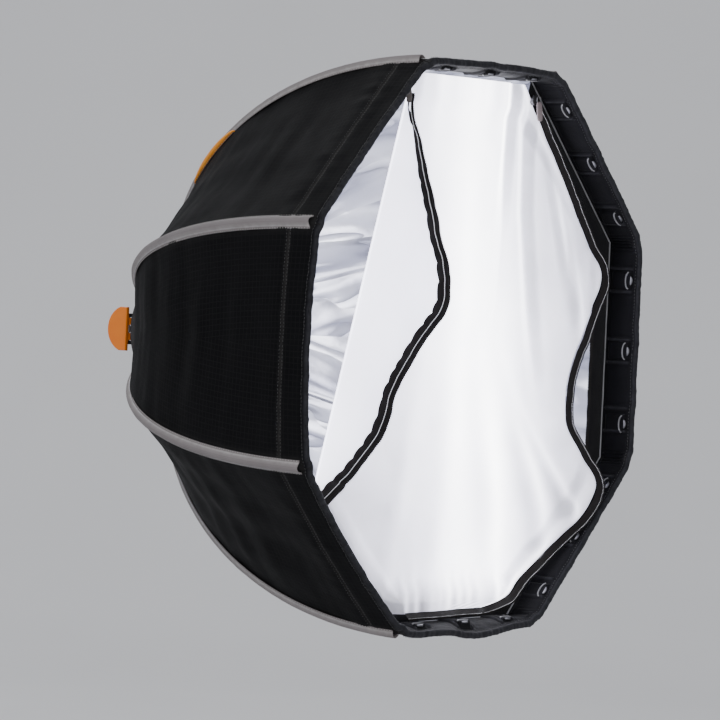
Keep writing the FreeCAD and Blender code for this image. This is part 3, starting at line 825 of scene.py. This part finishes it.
def settle_mouth(piece, rib, slot, *nodes):
    """Settles a piece of the mouth, which gathers towards its rib as the ribs fold."""
    settle(piece, f"rib_{rib}", slot, *nodes)
    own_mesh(piece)


def pocket_patch(name, side, place, front):
    """Half of a pocket: its back, or the lip in front of it. A crescent between them shows the magnet."""
    normal, across = axes(side_angle(side))
    centre = (2 * place - 1) * SIDE_HALF
    columns, rows = 17, 15
    points, uvs = [], []
    for i in range(rows):
        for j in range(columns):
            u, v = 2 * j / (columns - 1) - 1, i / (rows - 1)
            arc = (1 - u * u) ** 0.5
            start, end = (8.5, 10.6 + 4.2 * arc) if front else (11.2 + 4.9 * arc, 35.0)
            behind = start + (end - start) * v
            x = centre + u * 10.4 * MM
            shoulder = 1 - smooth(abs(u), 0.74, 1.0)
            ends = 1 - smooth(v, 0.85, 1.0) if not front else smooth(v, 0.0, 0.45)
            bulge = 2.6 + 0.15 * (1 - u * u) + 0.1 * ripple(x * 150, behind * 0.2, side * 2.0)
            shift, back = rim_shift(side, x / SIDE_HALF, behind * MM)
            base = BAND_RADIUS * APOTHEM - 0.4 * MM
            raised = shoulder * ends
            distance = (base + shift) * (1 - raised) + (base - bulge * MM) * raised
            point = normal * distance + across * x
            point[1] = MOUTH + behind * MM + back
            points.append(point)
            uvs.append((x, behind * MM))
    normals = grid_normals(points, rows, columns, -normal, len(points) // 2)
    under = np.array(points) - normals * CLOTH_WALL
    # The curved edge is coloured lighter: wear, and a painted highlight along the crescent.
    edge_row = rows - 1 if front else 0
    wear = [1.0 if k // columns == edge_row else 0.0 for k in range(len(points))]
    return two_faced(name, points, under, rows, columns, uvs, normals, BAND, BAND, wear)


def pocket_places(rib):
    """The side and the share of its length, for each pocket on a rib's share of the mouth."""
    before, after = rib, (rib % 8) + 1
    return [(before, 1 - POCKETS[2]), (after, 1 - POCKETS[0]), (after, 1 - POCKETS[1])]


def pockets(rib):
    """The three pockets on a rib's share of the mouth."""
    for number, (side, place) in enumerate(pocket_places(rib)):
        for part, front in (("back", False), ("lip", True)):
            piece = pocket_patch(f"pocket_{rib}_{number}_{part}", side, place, front)
            settle_mouth(piece, rib, "band_fabric")
        pocket_edge(f"pocket_{rib}_{number}_edge", side, place, rib)


def magnets(rib):
    """The disc magnets in one rib's pockets."""
    profile = ((5.6, 0.0), (6.0, 0.4), (6.0, 1.6), (5.6, 2.0))
    count = 40
    points, faces = [], []
    for side, place in pocket_places(rib):
        normal, across = axes(side_angle(side))
        back = rim_shift(side, 2 * place - 1, MAGNET_INSET)[1]
        faces += tube_faces(len(profile), count, len(points))
        for radius, height in profile:
            for turn in np.arange(count) * math.tau / count:
                x = (2 * place - 1) * SIDE_HALF + radius * MM * math.cos(turn)
                point = normal * (MAGNET_FACE + height * MM) + across * x
                point[1] = MOUTH + MAGNET_INSET + back + radius * MM * math.sin(turn)
                points.append(point)
    piece = new_mesh(f"magnets_{rib}", points, faces, materials=(MAGNET,))
    settle_mouth(piece, rib, "magnet", f"rim_magnets_{rib}")


def pocket_edge(name, side, place, rib):
    """The light piping on a pocket's curved edge; its light grey also stands for the highlight along that
    edge, a painted highlight.
    """
    normal, across = axes(side_angle(side))
    path = []
    for turn in np.linspace(0.1, 0.9, 21) * math.pi:
        u, arc = math.cos(turn), math.sin(turn)
        behind = (11.2 + 4.8 * arc) * MM
        back = rim_shift(side, place * 2 - 1, behind)[1]
        x = (2 * place - 1) * SIDE_HALF + u * 9.4 * MM
        lift = BAND_RADIUS * APOTHEM - 3.3 * MM + 0.5 * MM * smooth(abs(u), 0.7, 1.0)
        point = normal * lift + across * x
        point[1] = MOUTH + behind + back
        path.append(point)
    rings = thread(path, np.tile(-normal, (len(path), 1)), 1.5 * MM, 1.0 * MM)
    settle_mouth(loft(name, rings, materials=(PIPING,)), rib, "band_fabric")


def inside_piping(rib):
    """The light binding where the band meets the flange, and the seam tape on the rib inside the bowl."""
    path, normals = [], []
    for step in np.linspace(-1, 1, 81):
        side, along = side_of(rib, step)
        normals.append(-radial(side_angle(side)))
        path.append(band_point(side, along, 39.5, 1.0) + normals[-1] * 0.7 * MM)
    rings = thread(path, normals, 2.4 * MM, 1.6 * MM)
    settle_mouth(loft(f"piping_{rib}", rings, materials=(PIPING,)), rib, "band_fabric")
    out, side = axes(rib_angle(rib))
    spots = [(-5, 1.9), (-4.6, 1.1), (0, -0.9), (4.6, 1.1), (5, 1.9), (0, 0.2)]
    sections = []
    for angle in np.linspace(HUB_ANGLE + 1, mouth_angle(48 * MM), 70):
        r, y = on_curve(angle, -1.6 * MM)
        sections.append([out * (r + h * MM) + side * x * MM + np.array([0, y, 0]) for x, h in spots])
    settle(loft(f"seam_tape_{rib}", sections, materials=(SILVER,)), f"rib_{rib}", "canopy_fabric")


def seam_stitches(rib):
    """Rows of stitches: two along the mouth's edge, outside and inside, and two along the seam behind it."""
    steps = [side_of(rib, step) for step in np.linspace(-1, 1, 121)]
    outward = [radial(side_angle(side)) for side, _ in steps]
    for name, behind, layer, way, lift in (("outer", 5.0, 0.0, 1, 0.5), ("inner", 4.2, 1.0, -1, 0.6)):
        normals = [out * way for out in outward]
        path = [
            band_point(*step, behind, layer) + normal * lift * MM for step, normal in zip(steps, normals)
        ]
        row = stitches(f"band_stitch_{name}_{rib}", path, normals, THREAD_DARK, 0.75 * MM)
        settle_mouth(row, rib, "band_fabric")
    for name, behind in (("front", 34.0), ("rear", 38.5)):
        path = [canopy_point(*step, mouth_angle(behind * MM), 0.3 * MM) for step in steps]
        row = stitches(f"seam_stitch_{name}_{rib}", path, outward, THREAD_DARK, 0.7 * MM)
        settle(row, f"rib_{rib}", "canopy_fabric")


# Cloth in the mouth is one sheet, cut into one share for each rib.


def rib_at(x, z):
    """The rib whose sector holds this place."""
    return min(RIBS, key=lambda rib: -float(radial(rib_angle(rib)) @ np.array([x, 0.0, z])))


def shared_out(name, points, faces, normals, uvs, materials, glow=None):
    """Cuts a sheet into one piece for each rib that it reaches."""
    owners = [rib_at(*points[list(face)].mean(axis=0)[[0, 2]]) for face in faces]
    pieces = []
    for rib in sorted(set(owners)):
        own = [face for face, owner in zip(faces, owners) if owner == rib]
        used = sorted({v for face in own for v in face})
        place = {v: k for k, v in enumerate(used)}
        own = [tuple(place[v] for v in face) for face in own]
        facing, lit = (None if values is None else np.array(values)[used] for values in (normals, glow))
        uv = np.array(uvs)[used]
        piece = new_mesh(f"{name}_{rib}", points[used], own, uv, facing, materials, glow=lit)
        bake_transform(piece)
        pieces.append(piece)
    return pieces


def cloth_sheet(name, grid, uvs, material, glow=None):
    """A sheet of cloth from a grid of points, facing the mouth and shared out to the ribs."""
    rows, columns = grid.shape[:2]
    normals = grid_normals(grid, rows, columns)
    backward = normals[:, 1].mean() > 0
    faces = grid_faces(rows, columns, flip=not backward)
    normals = -normals if backward else normals
    points = grid.reshape(-1, 3)
    return shared_out(name, points, faces, normals, uvs, (material,), glow)


FOLD_TOP = np.array([-97, 268]) * MM
FOLD_END = np.array([-224, -134]) * MM
# The diffuser's right edge as (x, z, how far behind the mouth), from the top corner round to the bottom
RIGHT_EDGE = [
    (102, 270, 40), (124, 240, 39), (157, 200, 38), (188, 161, 37), (222, 116, 36), (246, 92, 36),
    (253, 76, 35), (244, 56, 35), (230, 30, 35), (208, -10, 35), (197, -42, 34), (194, -58, 33),
    (198, -84, 30), (217, -114, 22), (229, -134, 16), (226, -149, 14), (206, -171, 15), (178, -198, 26),
    (131, -232, 34), (104, -255, 37), (60, -265, 38),
]
# The folded part's free hem, from the top corner down to the end of the fold
HEM_EDGE = [
    (-103, 256, 37), (-107, 226, 32), (-97, 201, 30), (-83, 150, 28), (-69, 115, 27), (-57, 83, 26),
    (-50, 62, 26), (-55, 42, 26), (-76, 19, 27), (-100, -6, 28), (-121, -31, 29), (-146, -84, 31),
    (-181, -119, 34), (-217, -143, 37),
]


def edge_points(table, count):
    """An edge as points (x, y, z) in metres."""
    return spline([(x * MM, MOUTH + behind * MM, z * MM) for x, z, behind in table], count)


def crease(x, centre, width):
    """A sharp ridge that falls off evenly on both sides."""
    return max(0.0, 1 - abs(x - centre) / width)


def first_fold(z):
    """Where the long fold beside the diffuser's bright middle runs."""
    return 0.080 - 0.08 * (0.26 - z)


def folds(x, z):
    """Creases and soft folds in the hanging diffuser: how far they stand towards the mouth."""
    first = first_fold(z)
    high = -5.5 * MM * crease(x, first, 13 * MM) * smooth(z, 0.10, 0.2)
    second = 0.109 + 0.02 * (0.26 - z) + 0.16 * max(0.0, 0.14 - z)
    high -= 6.0 * MM * crease(x, second, 16 * MM) * smooth(z, -0.08, 0.06) * (1 - smooth(z, 0.22, 0.262))
    third = 0.205 + 0.25 * (0.07 - z)
    high += 5.0 * MM * bump(x, third, 10 * MM) * bump(z, 0.03, 0.07)
    fourth = 0.165 + 0.35 * (0.15 - z)
    high += 3.5 * MM * crease(x, fourth, 12 * MM) * bump(z, 0.12, 0.05)
    for centre, slope, width, reach, size in (
        (0.13, 0.35, 0.016, 0.09, 6.0), (0.06, 0.15, 0.02, 0.1, 4.0), (0.175, 0.7, 0.012, 0.07, 5.0),
        (-0.02, -0.08, 0.022, 0.16, 3.0), (-0.09, -0.2, 0.018, 0.12, 3.0),
    ):
        high += size * MM * bump(x, centre + slope * (-0.15 - z), width) * bump(z, -0.15, reach)
    high += 3.0 * MM * ripple(x * 5, z * 1.6, 4.0) + 1.2 * MM * ripple(x * 22, z * 6, 9.0)
    gathered = 1 - smooth(z, -0.264, -0.21)
    high += 2.4 * MM * gathered * (0.7 + ripple(x * 70, z * 4, 2.0))
    reach = max(abs(x), abs(z), (abs(x) + abs(z)) / math.sqrt(2))
    high += 4.0 * MM * smooth(reach, 0.232, 0.248)
    top = smooth(z, 0.19, 0.268)
    high += 1.3 * MM * top * ripple(x * 45, z * 5, 6.0)
    return high


def glow_at(x, z, slope):
    """How brightly the light behind shows through the cloth, painted into its emission: a bright middle band,
    painted shade right of the first fold and towards the gathered hem, and painted shade where the cloth
    comes forward along +X. slope is how fast it comes forward along +X.
    """
    centre = 0.01 + 0.10 * (0.25 - z)
    band = bump(x, centre, 0.085)
    wide = bump(x, centre - 0.02, 0.19) * bump(z, -0.02, 0.36)
    hem = 1 - smooth(z, -0.264, -0.225)
    # Painted shade on the cloth right of the first fold.
    band *= 1 - 0.38 * smooth(x - first_fold(z), -0.5 * MM, 2.5 * MM) * smooth(z, -0.02, 0.12)
    # Painted shade towards the hem and on folds that come forward.
    lit = (0.05 + 0.58 * band + 0.24 * wide) * (1 - 0.5 * hem) - 1.1 * slope * (0.35 + 0.65 * band)
    return min(1.0, max(0.0, lit))


DIFFUSER_ROWS, DIFFUSER_COLUMNS = 170, 120
STEEPEST = 1.2  # the slope at which shading of the lit cloth stops changing
TOP_Z, BOTTOM_Z = 270 * MM, -265 * MM
FLANGE_APOTHEM = FLANGE_BORE * APOTHEM


def left_edge(z):
    """x of the diffuser's left edge: the fold, then the zip along the lower left side."""
    share = (FOLD_TOP[1] - z) / (FOLD_TOP[1] - FOLD_END[1])
    fold = FOLD_TOP[0] + (FOLD_END[0] - FOLD_TOP[0]) * share
    zipped = -FLANGE_APOTHEM * math.sqrt(2) - z
    return max(fold, zipped, -FLANGE_APOTHEM)


def diffuser():
    right = edge_points(RIGHT_EDGE, 400)
    grid = np.zeros((DIFFUSER_ROWS, DIFFUSER_COLUMNS, 3))
    uvs = []
    for i in range(DIFFUSER_ROWS):
        z = TOP_Z + (BOTTOM_Z - TOP_Z) * i / (DIFFUSER_ROWS - 1)
        end = between([-z], -right[:, 2], right)[0]
        start = left_edge(z)
        for j in range(DIFFUSER_COLUMNS):
            share = j / (DIFFUSER_COLUMNS - 1)
            x = start + (end[0] - start) * share
            base = CLOTH_Y + (end[1] - CLOTH_Y) * share**3
            inside = smooth(share, 0.0, 0.1) * (1 - 0.6 * smooth(share, 0.93, 1.0))
            y = base - folds(x, z) * inside
            ruffle = 2.2 * MM * ripple(z * 45, 3.0, 0.0) * smooth(share, 0.86, 1.0)
            grid[i, j] = (x + ruffle * 0.4, y + ruffle, z)
            uvs.append((x, z))
    # Painted light: the glow for the emission at each point, with painted shade from each fold's slope.
    slopes = -np.gradient(grid[:, :, 1], axis=1) / np.maximum(np.gradient(grid[:, :, 0], axis=1), 0.1 * MM)
    slopes = np.clip(slopes.ravel(), -STEEPEST, STEEPEST)
    glow = [glow_at(x, z, slope) for (x, _, z), slope in zip(grid.reshape(-1, 3), slopes)]
    for piece in cloth_sheet("diffuser_cloth", grid, uvs, WHITE, glow):
        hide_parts("diffuser")
    return grid


def flap():
    """The left part of the diffuser, unzipped and folded over the front, with a ruffled hem."""
    rows, columns = 150, 34
    hem = edge_points(HEM_EDGE, rows)
    grid = np.zeros((rows, columns, 3))
    uvs = []
    for i in range(rows):
        down = i / (rows - 1)
        fold = FOLD_TOP + (FOLD_END - FOLD_TOP) * down
        fold = np.array([fold[0] + 0.6 * MM, CLOTH_Y - 2.2 * MM, fold[1]])
        ruffle = math.sin(down * 46 + 2.0 * ripple(down * 5, 1.0, 0.0))
        ruffle += 0.6 * ripple(down * 34, 7.0, 0.0)
        for j in range(columns):
            share = j / (columns - 1)
            middle = math.sin(math.pi * share)
            point = fold + (hem[i] - fold) * share
            loose = math.sin(math.pi * min(1.0, down * 1.02)) ** 0.5
            point[1] -= 7.0 * MM * middle * loose
            near = smooth(share, 0.55, 1.0) * loose
            point[1] += 1.9 * MM * ruffle * near
            point[0] += 1.2 * MM * ruffle * near
            point[1] += 1.6 * MM * ripple(point[0] * 30, point[2] * 12, 5.0) * middle
            grid[i, j] = point
            uvs.append((point[0], point[2]))
    grid[:, :, 1] = np.minimum(grid[:, :, 1], CLOTH_Y - 2.0 * MM)
    # Painted light for the flap's emission: dimmer towards its hem as painted shade, and brighter towards its
    # lower end.
    shade = np.linspace(0, 1, columns)[None, :] * np.ones((rows, 1))
    glow = 0.5 - 0.16 * shade + 0.2 * np.linspace(0, 1, rows)[:, None]
    glow = glow.ravel()
    for piece in cloth_sheet("flap_cloth", grid, uvs, WHITE_FLAP, glow):
        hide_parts("diffuser_flap")
    return grid[:, -1], grid[:, -4]


FOLD_RADIUS = 1.2 * MM


def fold_edge():
    """The rounded edge where the cloth turns over on itself."""
    rows, columns = 120, 9
    grid = np.zeros((rows, columns, 3))
    uvs = []
    for i in range(rows):
        down = i / (rows - 1)
        fold = FOLD_TOP + (FOLD_END - FOLD_TOP) * down
        for j in range(columns):
            turn = math.pi * (j / (columns - 1) - 0.5)
            x = fold[0] + 0.6 * MM - FOLD_RADIUS * math.cos(turn)
            grid[i, j] = (x, CLOTH_Y - 1.0 * MM - FOLD_RADIUS * math.sin(turn), fold[1])
            uvs.append((j * 0.5 * MM, fold[1]))
    # Painted light: the rolled edge glows evenly by emission.
    glow = [0.45] * (rows * columns)
    cloth_sheet("fold_roll", grid, uvs, WHITE, glow=glow)


def tape(name, edge, ahead, width, ruffle=0.0, line=None):
    """Zip tape sewn along an edge. ahead is which way it stands, and line is where its stitches run."""
    edge, ahead = np.array(edge), np.array(ahead)
    rows, columns = len(edge), 7
    grid = np.zeros((rows, columns, 3))
    uvs = []
    for i in range(rows):
        for j in range(columns):
            share = j / (columns - 1)
            pull = abs(math.sin(i * 0.56 + 2.0 * ripple(i * 0.06, 3.0, 0.0))) ** 0.6
            grid[i, j] = edge[i] + ahead[i] * (width * share - ruffle * pull * (1 - share) ** 2)
            grid[i, j, 1] -= (ruffle * 0.6 * pull + ruffle * 0.25) * (1 - share)
            grid[i, j, 1] += 0.5 * MM * ripple(i * 0.35, j * 0.3, len(name)) * share
            uvs.append((share * width, i * 3.0 * MM))
    cloth_sheet(name, grid, uvs, TAPE)
    facing = unit(np.cross(np.gradient(edge, axis=0), ahead))
    if facing[:, 1].mean() > 0:
        facing = -facing
    rope(f"{name}_coil", grid[:, -1] - ahead * 1.0 * MM, facing, 2.2 * MM, 1.8 * MM, TAPE, 0.35)
    if line is not None:
        lane = grid[:, round(line * (columns - 1))] + facing * 0.5 * MM
        rope(f"{name}_stitch", lane, facing, 0.6 * MM, 0.6 * MM, THREAD_WHITE, 0.25)


def rope(name, lane, facing, width, height, material, pulse):
    """A zip's coil or a row of stitches along a tape. pulse is how much it swells at each turn."""
    rows, count = len(lane), 6 * len(lane)
    fine = spline(lane, count)
    normals = between(np.linspace(0, rows - 1, count), range(rows), facing)
    swell = 1 + pulse * np.sign(np.sin(np.arange(count) * 1.6))
    rings = [
        [p + (q - p) * size for q in ring]
        for p, size, ring in zip(fine, swell, thread(fine, normals, width, height))
    ]
    faces = tube_faces(count, len(rings[0]), closed=False)
    points = np.array(rings).reshape(-1, 3)
    shared_out(name, points, faces, None, points[:, [0, 2]], (material,))


def spaced(points, gap):
    """The points of a line that are at least this far apart."""
    kept = [points[0]]
    for point in points[1:]:
        if np.linalg.norm(point - kept[-1]) > gap:
            kept.append(point)
    return np.array(kept)


def zip_tapes(hem, inner_hem, cloth):
    """The zip's cloth half: on the folded part's hem, and down the right edge and along the bottom."""
    across = unit(hem - inner_hem)
    ease = np.clip(np.arange(len(hem)) / (0.2 * len(hem)), 0, 1)[:, None]
    across = across * ease + np.array([0.9, 0, -0.3]) * (1 - ease)
    standing = (across * 0.62 + np.array([0, -0.78, 0])) * (0.45 + 0.55 * ease)
    hem = np.vstack([hem, hem[-1] + np.outer(np.arange(1, 3), hem[-1] - hem[-2])])
    standing = np.vstack([standing, np.tile(standing[-1], (2, 1))])
    tape("hem_tape", hem[2:], standing[2:], 14 * MM, ruffle=4.0 * MM, line=0.45)
    edge = spline(spaced(np.vstack([cloth[9:, -1], cloth[-1, -2:3:-1]]), 12 * MM), 340)
    ahead = np.gradient(edge, axis=0)
    out = unit(np.stack([-ahead[:, 2], np.zeros(len(edge)), ahead[:, 0]], axis=1))
    at_bottom = np.clip(-out[:, 2:], 0, 1)
    forward = np.array([[0.0, -1.0, 0.0]])
    standing = out * (0.62 + 0.1 * at_bottom) + forward * 0.6
    edge = edge - out * 1.5 * MM + forward * (1.8 + 2.4 * at_bottom) * MM
    tape("right_tape", edge, standing, 9.5 * MM, line=0.8)


def flange():
    """Black cloth from the band in to the zip, round seven sides, with the zip's other half on its edge."""
    first, last = 112.5, 427.5
    angles = np.linspace(first, last, 337)
    rows, columns = len(angles), 10
    grid = np.zeros((rows, columns, 3))
    uvs, edge, ahead = [], [], []
    for i, angle in enumerate(angles):
        inside_side = ((angle - first) % 45) - HALF_SIDE
        shape = APOTHEM / math.cos(math.radians(inside_side))
        out = radial(angle)
        for j in range(columns):
            share = j / (columns - 1)
            r = ((BAND_RADIUS + 1.0 * MM) * (1 - share) + FLANGE_BORE * share) * shape
            slack = 1.4 * MM + 1.2 * MM * ripple(angle * 0.2, share * 2, 3.0)
            slack *= math.sin(math.pi * share)
            y = FLANGE_Y - 1.0 * MM - slack + 0.8 * MM * ripple(angle * 0.35, 8.0, 0.0) * share
            grid[i, j] = out * r + np.array([0, y, 0])
            uvs.append((math.radians(angle) * r, r))
        edge.append(grid[i, -1] + np.array([0, -0.2 * MM, 0]))
        ahead.append(-out)
    for piece in cloth_sheet("flange_cloth", grid, uvs, FLANGE):
        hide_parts("zip_flange")
    tape("flange_tape", edge[2:-2], ahead[2:-2], 6 * MM)


# The zips' sliders and pulls


def rounded_block(name, size, centre, turn, material, bevel):
    """A moulded block with rounded edges that narrows towards its ends."""
    mesh = bpy.data.meshes.new(name)
    x, y, z = (value / 2 for value in size)
    outline = [(-x, z * 0.75), (-x * 0.5, z), (x * 0.4, z * 0.82), (x, z * 0.6)]
    outline += [(a, -b) for a, b in reversed(outline)]
    points = [(a, -y, b) for a, b in outline] + [(a, y, b) for a, b in outline]
    count = len(outline)
    faces = [tuple(range(count)), tuple(reversed(range(count, 2 * count)))]
    faces += [(k, k + count, (k + 1) % count + count, (k + 1) % count) for k in range(count)]
    mesh.from_pydata(points, [], faces)
    obj = bpy.data.objects.new(name, mesh)
    bpy.context.collection.objects.link(obj)
    obj.matrix_world = Matrix.Translation(centre) @ Matrix.Rotation(math.radians(turn), 4, "Y")
    soften = obj.modifiers.new("round", "BEVEL")
    soften.width = bevel
    soften.segments = 3
    mesh.materials.append(material)
    mesh.polygons.foreach_set("use_smooth", [True] * len(faces))
    return obj


PULL_LEAN = 0.12
PULL_RIBBON = plain_weave("pull_ribbon", (0.06, 0.048, 0.045), (0.10, 0.082, 0.078), 0.65, 0.3, 1400, 0.2)
LOOP_TOP = 4.5 * MM  # from the pull's pivot to the top of its tab


def pull_tab(name, pivot, length, widest, thick, lean, curl, grooved, material):
    """A moulded or ribbon tab that hangs from its slider, with cross grooves if it is moulded."""
    rows, columns = 22, 16
    sections = []
    for i in range(rows):
        down = i / (rows - 1)
        half = widest * (0.72 + 0.28 * math.sin(math.pi * (0.15 + 0.7 * down)))
        half *= math.sqrt(max(0.06, 1 - (2 * down - 1) ** 12))
        fall = LOOP_TOP + length * down
        spine = pivot + np.array([lean * fall, -curl * math.sin(down * 2.2), -fall])
        depth = thick * (0.7 if grooved and 3 < i < 17 and i % 3 == 0 else 1.0)
        section = []
        for turn in np.arange(columns) * math.tau / columns:
            c, s = math.cos(turn), math.sin(turn)
            x = half * c * abs(c) ** -0.4 if abs(c) > 1e-6 else 0.0
            section.append(spine + np.array([x, depth * s, 0]))
        sections.append(section)
    uvs = [(j * MM, i * 1.5 * MM) for i in range(rows) for j in range(columns)]
    return loft(name, sections, uvs=uvs, materials=(material,))


def slider(name, turn, tab):
    """A slider's body, the loop of its pull and its tab."""
    low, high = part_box(f"zip_slider_{name}")
    size = (11 * MM, 4.6 * MM, 7.6 * MM)
    body = rounded_block(f"slider_body_{name}", size, (low + high) / 2, turn, DARK_METAL, 0.9 * MM)
    settle(body, f"slider_{name}", "zip_metal", f"zip_slider_{name}")
    low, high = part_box(f"zip_pull_{name}")
    pivot = np.array([(low.x + high.x) / 2, (low.y + high.y) / 2, high.z])
    loop = [
        pivot + np.array([3.2 * MM * math.sin(a), 0, (4.5 * math.cos(a) - 2.5) * MM])
        for a in np.linspace(0.12, 0.88, 30) * math.tau
    ]
    rings = thread(loop, np.tile([0.0, -1.0, 0.0], (len(loop), 1)), 1.3 * MM, 1.3 * MM)
    loop = loft(f"pull_loop_{name}", rings, materials=(DARK_METAL,))
    settle(loop, f"pull_{name}", "zip_metal")
    piece = pull_tab(f"pull_tab_{name}", pivot, *tab)
    settle(piece, f"pull_{name}", "pull_mauve", f"zip_pull_{name}")


def accent():
    """The orange tab beside the upper left rib's sleeve."""
    out, side = axes(rib_angle(1))
    angles = np.linspace(34.2, 49.0, 40)
    rows, columns = len(angles), 8
    outer, uvs = [], []
    for i, angle in enumerate(angles):
        end = math.sin(math.pi * i / (rows - 1)) ** 0.35
        for j in range(columns):
            share = j / (columns - 1)
            r, y = on_curve(angle, (-1.9 + 5.6 * share * end) * MM)
            bow = 1.4 * MM * math.sin(math.pi * share) + 0.4 * MM * ripple(angle * 0.5, share * 2, 0.0)
            outer.append(out * r + side * (6.0 * MM + bow) + np.array([0, y, 0]))
            uvs.append((share * 8 * MM, i * 2 * MM))
    normals = grid_normals(outer, rows, columns, side, len(outer) // 2)
    inner = np.array(outer) - normals * 0.9 * MM
    piece = two_faced("accent_orange_tab", outer, inner, rows, columns, uvs, None, ORANGE_CLOTH, ORANGE_CLOTH)
    settle(piece, "rib_1", "accent_orange", "accent_tab")


for number in RIBS:
    canopy_panel(number)
    sleeve(number)
    mouth_band(number)
    pockets(number)
    magnets(number)
    inside_piping(number)
    seam_stitches(number)
    paint(f"rib_rod_{number}", FIBRE)

sheet_grid = diffuser()
hem_line, inside_line = flap()
fold_edge()
flange()
zip_tapes(hem_line, inside_line, sheet_grid)
slider("left", 45, (15 * MM, 4.6 * MM, 0.7 * MM, 0.0, 1.2 * MM, False, PULL_RIBBON))
slider("right", 135, (20 * MM, 5.0 * MM, 1.15 * MM, PULL_LEAN, 0.36 * MM, True, MAUVE))
accent()

for node in ("mount_ring", "retaining_ring", "hub_body", "hub_cover"):
    paint(node, NYLON)
for node in ("latch_pin", "latch_spring", "hinge_pins", "hub_screws"):
    paint(node, STEEL)
paint("latch_lever", ORANGE)


# The stage: a pale sweep of floor and backdrop, soft lights, a glow inside the box, and the camera


def stage():
    floor_z, back_y, size, bend = -0.62, 3.6, 9.0, 1.2
    start = back_y - bend
    profile = [(-size, floor_z), (start, floor_z)]
    for a in np.linspace(0.1, math.pi / 2, 12):
        profile.append((start + bend * math.sin(a), floor_z + bend * (1 - math.cos(a))))
    profile.append((back_y, floor_z + 7))
    points = [(x, y, z) for y, z in profile for x in (-size, size)]
    floor = new_mesh("floor", points, grid_faces(len(profile), 2))
    floor.rotation_euler = (0, 0, math.radians(CAMERA_AZIMUTH))
    material, tree, shader = nodes_of("floor_paper")
    paper = mix_colour(tree, noise_node(tree, 3, 2), (0.74, 0.74, 0.75), (0.78, 0.78, 0.79))
    link(tree, paper, shader.inputs["Base Color"])
    fixed(shader, {"Roughness": 0.9})
    floor.data.materials.append(material)


CAMERA_AZIMUTH = -53.1
CAMERA_ELEVATION = 1.3
CAMERA_ROLL = 2.62
CAMERA_DISTANCE = 3.662
CAMERA_LENS = 191.7
CAMERA_TARGET = Vector((-0.209, MOUTH, -0.0131))


def camera():
    azimuth, elevation = math.radians(CAMERA_AZIMUTH), math.radians(CAMERA_ELEVATION)
    level = math.cos(elevation)
    back = Vector((math.sin(azimuth) * level, -math.cos(azimuth) * level, math.sin(elevation)))
    right = Vector((math.cos(azimuth), math.sin(azimuth), 0))
    up = back.cross(right)
    roll = math.radians(CAMERA_ROLL)
    right, up = right * math.cos(roll) + up * math.sin(roll), up * math.cos(roll) - right * math.sin(roll)
    data = bpy.data.cameras.new("camera")
    data.lens = CAMERA_LENS
    data.sensor_width = 36
    obj = bpy.data.objects.new("camera", data)
    bpy.context.collection.objects.link(obj)
    place = Matrix((right, up, back)).transposed().to_4x4()
    place.translation = CAMERA_TARGET + back * CAMERA_DISTANCE
    obj.matrix_world = place
    bpy.context.scene.camera = obj


def area_light(name, place, target, size, power, colour=(1, 1, 1)):
    data = bpy.data.lights.new(name, "AREA")
    data.size = size
    data.energy = power
    data.color = colour
    obj = bpy.data.objects.new(name, data)
    bpy.context.collection.objects.link(obj)
    obj.location = place
    obj.rotation_euler = (Vector(target) - Vector(place)).to_track_quat("-Z", "Y").to_euler()


def lights():
    world = bpy.data.worlds.new("studio")
    world.use_nodes = True
    fixed(world.node_tree.nodes["Background"], {"Color": (0.93, 0.95, 1.0, 1), "Strength": 0.6})
    bpy.context.scene.world = world
    centre = (0, -0.2, 0)
    area_light("key", (-2.6, -0.4, 2.2), centre, 1.8, 38)
    area_light("fill", (-1.6, -3.2, 0.6), centre, 2.4, 36)
    area_light("rim", (1.2, 1.8, 2.4), centre, 1.6, 24)
    area_light("glow", (0, -0.07, 0), (0, -1, 0), 0.07, 2.2, (1.0, 0.99, 0.97))


stage()
camera()
lights()
